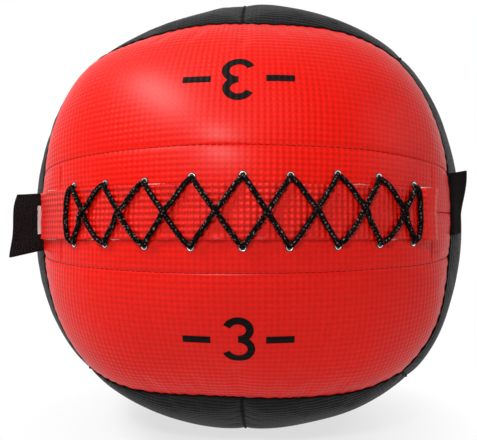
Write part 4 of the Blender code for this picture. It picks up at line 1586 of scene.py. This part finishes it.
def lace_run():
    """The lace's closed middle line, as longitudes, rises, heights and shares of its thickness."""
    parts = []
    stations = lace_stations()
    for (a, b), (c, d) in zip(stations, stations[1:] + stations[:1]):
        b, d = (rise - math.copysign(HOOK_INSET, rise) for rise in (b, d))
        is_bar = abs(a - c) < EYELET_PITCH_ANGLE / 2
        length = math.hypot((c - a) * BALL_RADIUS, d - b)
        count = round(length / LACE_STEP)
        share = np.arange(count) / count
        longitude, rise = a + (c - a) * share, b + (d - b) * share
        outwards = math.copysign(1, a + c)
        if is_bar:
            bow = outwards * LACE_BAR_BOW[outwards] / BALL_RADIUS
            longitude = longitude + bow * np.sin(math.pi * share) ** BAR_CURVE
        else:
            slack = (abs(a + c) / 2 - LOOSE_FROM) / (LOOSE_TO - LOOSE_FROM)
            bow = outwards * LOOSE_BOW / BALL_RADIUS * min(1, max(0, slack))
            inwards = share if abs(a) > abs(c) else 1 - share
            longitude = longitude + bow * np.sin(math.pi * inwards**LEG_CURVE)
        height = over_cover(longitude, rise)
        over = not is_bar and (d > b) == (c > a)
        if a + c > 2 * EYELET_PITCH_ANGLE:
            over = not is_bar and not over
        off_middle = np.abs(share - 0.5) * length
        if over:
            hump = np.cos(math.pi / 2 * np.clip(off_middle / LACE_HUMP_HALF_LENGTH, 0, 1)) ** 2
            height = height + LACE_HUMP * hump
        from_end = np.minimum(share, 1 - share) * length
        sink = np.clip(1 - from_end / HOOK_REACH, 0, 1)
        height = height - HOOK_SINK * sink**2
        parts.append(np.stack([longitude, rise, height, 1 - HOOK_SQUEEZE * sink]))
    run = np.concatenate(parts, axis=1)
    for _ in range(APEX_SMOOTHING):
        run = (np.roll(run, 1, axis=1) + 2 * run + np.roll(run, -1, axis=1)) / 4
    return run


def lace_braid():
    """Round braid: black strands that cross both ways round the cord, with grey flecks painted
    where the strands cross, as painted highlights.
    """
    mix = Recipe("lace_braid")
    where = mix.parts("UV")
    wander = mix.grain(mix.place(), size=0.0045, detail=1.0)
    run = mix.sum("MULTIPLY_ADD", wander, 0.006, where[0])
    turn = mix.sum("MULTIPLY_ADD", wander, 0.35, where[1])
    along = mix.sum("MULTIPLY", run, 2 * math.pi / BRAID_PITCH)
    round_it = mix.sum("MULTIPLY", turn, 2 * math.pi * STRANDS_ROUND)
    one = mix.sum("SINE", mix.sum("ADD", along, round_it))
    other = mix.sum("SINE", mix.sum("SUBTRACT", along, round_it))
    strands = mix.sum("MAXIMUM", one, other)
    fuzz = mix.grain(mix.place(), size=0.0005, detail=4.0)
    scattered = mix.stretch(mix.grain(mix.place(), size=0.0020, detail=2.0), 0.44, 0.60)
    # Grey flecks where the strands cross are painted highlights on the braid.
    crossing_highlight = mix.stretch(mix.sum("MULTIPLY", one, other), 0.3, 0.75)
    fleck = mix.sum("MULTIPLY", crossing_highlight, scattered)
    dark = mix.between(
        mix.stretch(strands, 0.2, 1.0), (0.0020, 0.0014, 0.0016), (0.0070, 0.0050, 0.0050)
    )
    return mix.finish(
        Base_Color=mix.between(fleck, dark, (0.20, 0.15, 0.13)),
        Roughness=0.7,
        Specular_IOR_Level=0.02,
        Normal=mix.relief(strands, depth=0.0003, under=mix.relief(fuzz, depth=0.00012)),
    )


longitude, rise, height, thick = lace_run()
lace = tube(
    "black_lace",
    front_point(longitude, rise, height),
    face_direction(longitude, rise / BALL_RADIUS),
    LACE_RADIUS * thick,
    LACE_SIDES,
    closed=True,
)
shade(lace, lace_braid())
fit(lace, "ball", "black_braid", "lace")


# Weight marks. A plain numeral between two bars is printed in black ink over and under the
# lacing. The upper one is upside down, so that it reads with the ball turned over.

MARK_HEIGHT = 0.031
MARK_STROKE = 0.0046
MARK_LIFT = 0.00006
MARK_RISE = {"upper": 0.0838, "lower": 0.0818}
INK_THICKNESS = 0.00012
BOWL_HALF_WIDTHS = (0.0070, 0.0078)
BOWL_SHARES = (0.47, 0.53)
BAR_SPAN = (0.0165, 0.0335)
INK_RELIEF = 0.8


def stroke(points, width):
    """A band of places along a line drawn on the flat: one row per point, from side to side."""
    points = np.array(points)
    way = unit(np.gradient(points, axis=0))
    aside = np.stack([-way[:, 1], way[:, 0]], axis=-1)
    steps = np.linspace(-width / 2, width / 2, 7)
    return points[:, None] + aside[:, None] * steps[None, :, None]


def arc_line(centre, radii, first, last):
    """Part of an oval, between two angles in degrees."""
    angles = np.radians(np.linspace(first, last, 36))
    x = centre[0] + radii[0] * np.cos(angles)
    z = centre[1] + radii[1] * np.sin(angles)
    return together(x, z)


def numeral_three():
    """The numeral 3, as an upper and a lower bowl that meet in the middle."""
    reach = MARK_HEIGHT / 2 - MARK_STROKE / 2
    wide_upper, wide_lower = BOWL_HALF_WIDTHS
    high_upper, high_lower = (reach * share for share in BOWL_SHARES)
    upper = arc_line((0, reach - high_upper), (wide_upper, high_upper), first=158, last=-90)
    lower = arc_line((0, high_lower - reach), (wide_lower, high_lower), first=90, last=-160)
    return [stroke(upper, MARK_STROKE), stroke(lower, MARK_STROKE)]


def bar(x_sign):
    """The places of a level bar, to one side of the numeral."""
    xs = np.sort(np.linspace(*BAR_SPAN, 16) * x_sign)
    return stroke(together(xs, 0 * xs), MARK_STROKE)


ink = Recipe("black_ink")
wear = ink.grain(ink.place(), size=0.0012, detail=5.0)
ink.finish(
    Base_Color=ink.between(wear, (0.0022, 0.0012, 0.0012), (0.0070, 0.0045, 0.0045)),
    Roughness=0.5,
    Specular_IOR_Level=0.05,
    Normal=ink.relief(embossing(ink), EMBOSS_DEPTH * INK_RELIEF),
)
for half, sign in (("upper", -1), ("lower", 1)):
    panel = f"front_panel_{half}"
    inner, outer, low_end, high_end = PANELS[panel]
    panel_height = float(arc(inner(0.0), outer(0.0)))
    printed = []
    for number, band in enumerate([*numeral_three(), bar(-1), bar(1)]):
        x, z = band[..., 0] * sign, band[..., 1]
        out = (MARK_RISE[half] - z) / panel_height
        width = arc(low_end(out), high_end(out)) / 2
        points, lengths = cover_points(panel, x / width, out, MARK_LIFT)
        printed.append(grid_sheet(f"{half}_mark_{number}", points, lengths))
    mark = name_piece(joined(printed), f"{half}_weight_mark")
    modify(mark, "coat", "SOLIDIFY", thickness=INK_THICKNESS, offset=0)
    shade(apply_all(mark), ink.made)
    fit(mark, "ball", "black_vinyl")


# Camera, light and floor. The camera stands where the photograph's did, nearly level with the
# ball. Soft boxes light the ball from the upper left, the front, the right and behind, over a pale
# floor in a white room.

CAMERA_DISTANCE = 0.525
CAMERA_AZIMUTH = math.radians(2.2)
CAMERA_ELEVATION = math.radians(-1.8)
CAMERA_LENS = 45.25
CAMERA_SHIFT = (-0.0199, -0.0052)
FLOOR_DROP = 0.0002
FLOOR_SHADE = (0.08, 0.19, 0.7, 1.0)
FLOOR_SIZE = 8
ROOM_LIGHT = 0.06
WHITE = (1, 1, 1, 1)

camera_data = bpy.data.cameras.new("camera")
camera_data.lens = CAMERA_LENS
camera_data.shift_x, camera_data.shift_y = CAMERA_SHIFT
camera = added("camera", camera_data)
bpy.context.scene.camera = camera
aim = Vector(face_direction(CAMERA_AZIMUTH, CAMERA_ELEVATION))
camera.location = Vector(ball_centre) + aim * CAMERA_DISTANCE
camera.rotation_euler = (-aim).to_track_quat("-Z", "Y").to_euler()


def soft_box(name, longitude, latitude, distance, size, power):
    """A round lamp that faces the ball from a longitude and a latitude in degrees."""
    lamp = bpy.data.lights.new(name, "AREA")
    lamp.shape = "DISK"
    lamp.size = size
    lamp.energy = power
    placed = added(name, lamp)
    out = Vector(face_direction(math.radians(longitude), math.radians(latitude)))
    placed.location = Vector(ball_centre) + out * distance
    placed.rotation_euler = out.to_track_quat("Z", "Y").to_euler()


soft_box("key_light", longitude=-48, latitude=49, distance=1.6, size=0.45, power=17)
soft_box("front_light", longitude=-10, latitude=31, distance=1.8, size=0.25, power=14.5)
soft_box("right_fill", longitude=75, latitude=20, distance=1.8, size=1.0, power=3.2)
soft_box("back_light", longitude=180, latitude=6, distance=1.8, size=1.0, power=10)


def seen_white(mix, lit, white, output, share=1.0):
    """Camera, glossy and transmission rays see white at a share, and the rest see what is lit."""
    rays = mix.node("ShaderNodeLightPath").outputs
    seen = mix.sum("MAXIMUM", rays["Is Camera Ray"], rays["Is Glossy Ray"])
    seen = mix.sum("MAXIMUM", seen, rays["Is Transmission Ray"])
    mixed = mix.node("ShaderNodeMixShader", Fac=mix.sum("MULTIPLY", seen, share))
    mix.put(mixed.inputs[1], lit.outputs[0])
    mix.put(mixed.inputs[2], mix.node(white, Color=WHITE, Strength=1.0).outputs[0])
    mix.put(mix.tree.nodes[output].inputs["Surface"], mixed.outputs[0])


deselect()
bpy.ops.mesh.primitive_plane_add(size=FLOOR_SIZE, location=(0, 0, -FLOOR_DROP))
floor = name_piece(bpy.context.object, "floor")
paper = Recipe("floor_paper")
paper.finish(Base_Color=(0.82, 0.82, 0.82, 1), Roughness=0.9)
far = paper.node("ShaderNodeVectorMath", {"operation": "LENGTH"}, Vector=paper.place())
shade_share = paper.stretch(far.outputs["Value"], *FLOOR_SHADE)
seen_white(paper, paper.shader, "ShaderNodeEmission", "Material Output", shade_share)
floor.data.materials.append(paper.made)

world = bpy.data.worlds.new("white_room")
bpy.context.scene.world = world
sky = Recipe("white_room", world)
room = sky.tree.nodes["Background"]
sky.put(room.inputs["Color"], WHITE)
sky.put(room.inputs["Strength"], ROOM_LIGHT)
seen_white(sky, room, "ShaderNodeBackground", "World Output")
bpy.context.scene.view_settings.view_transform = "Standard"
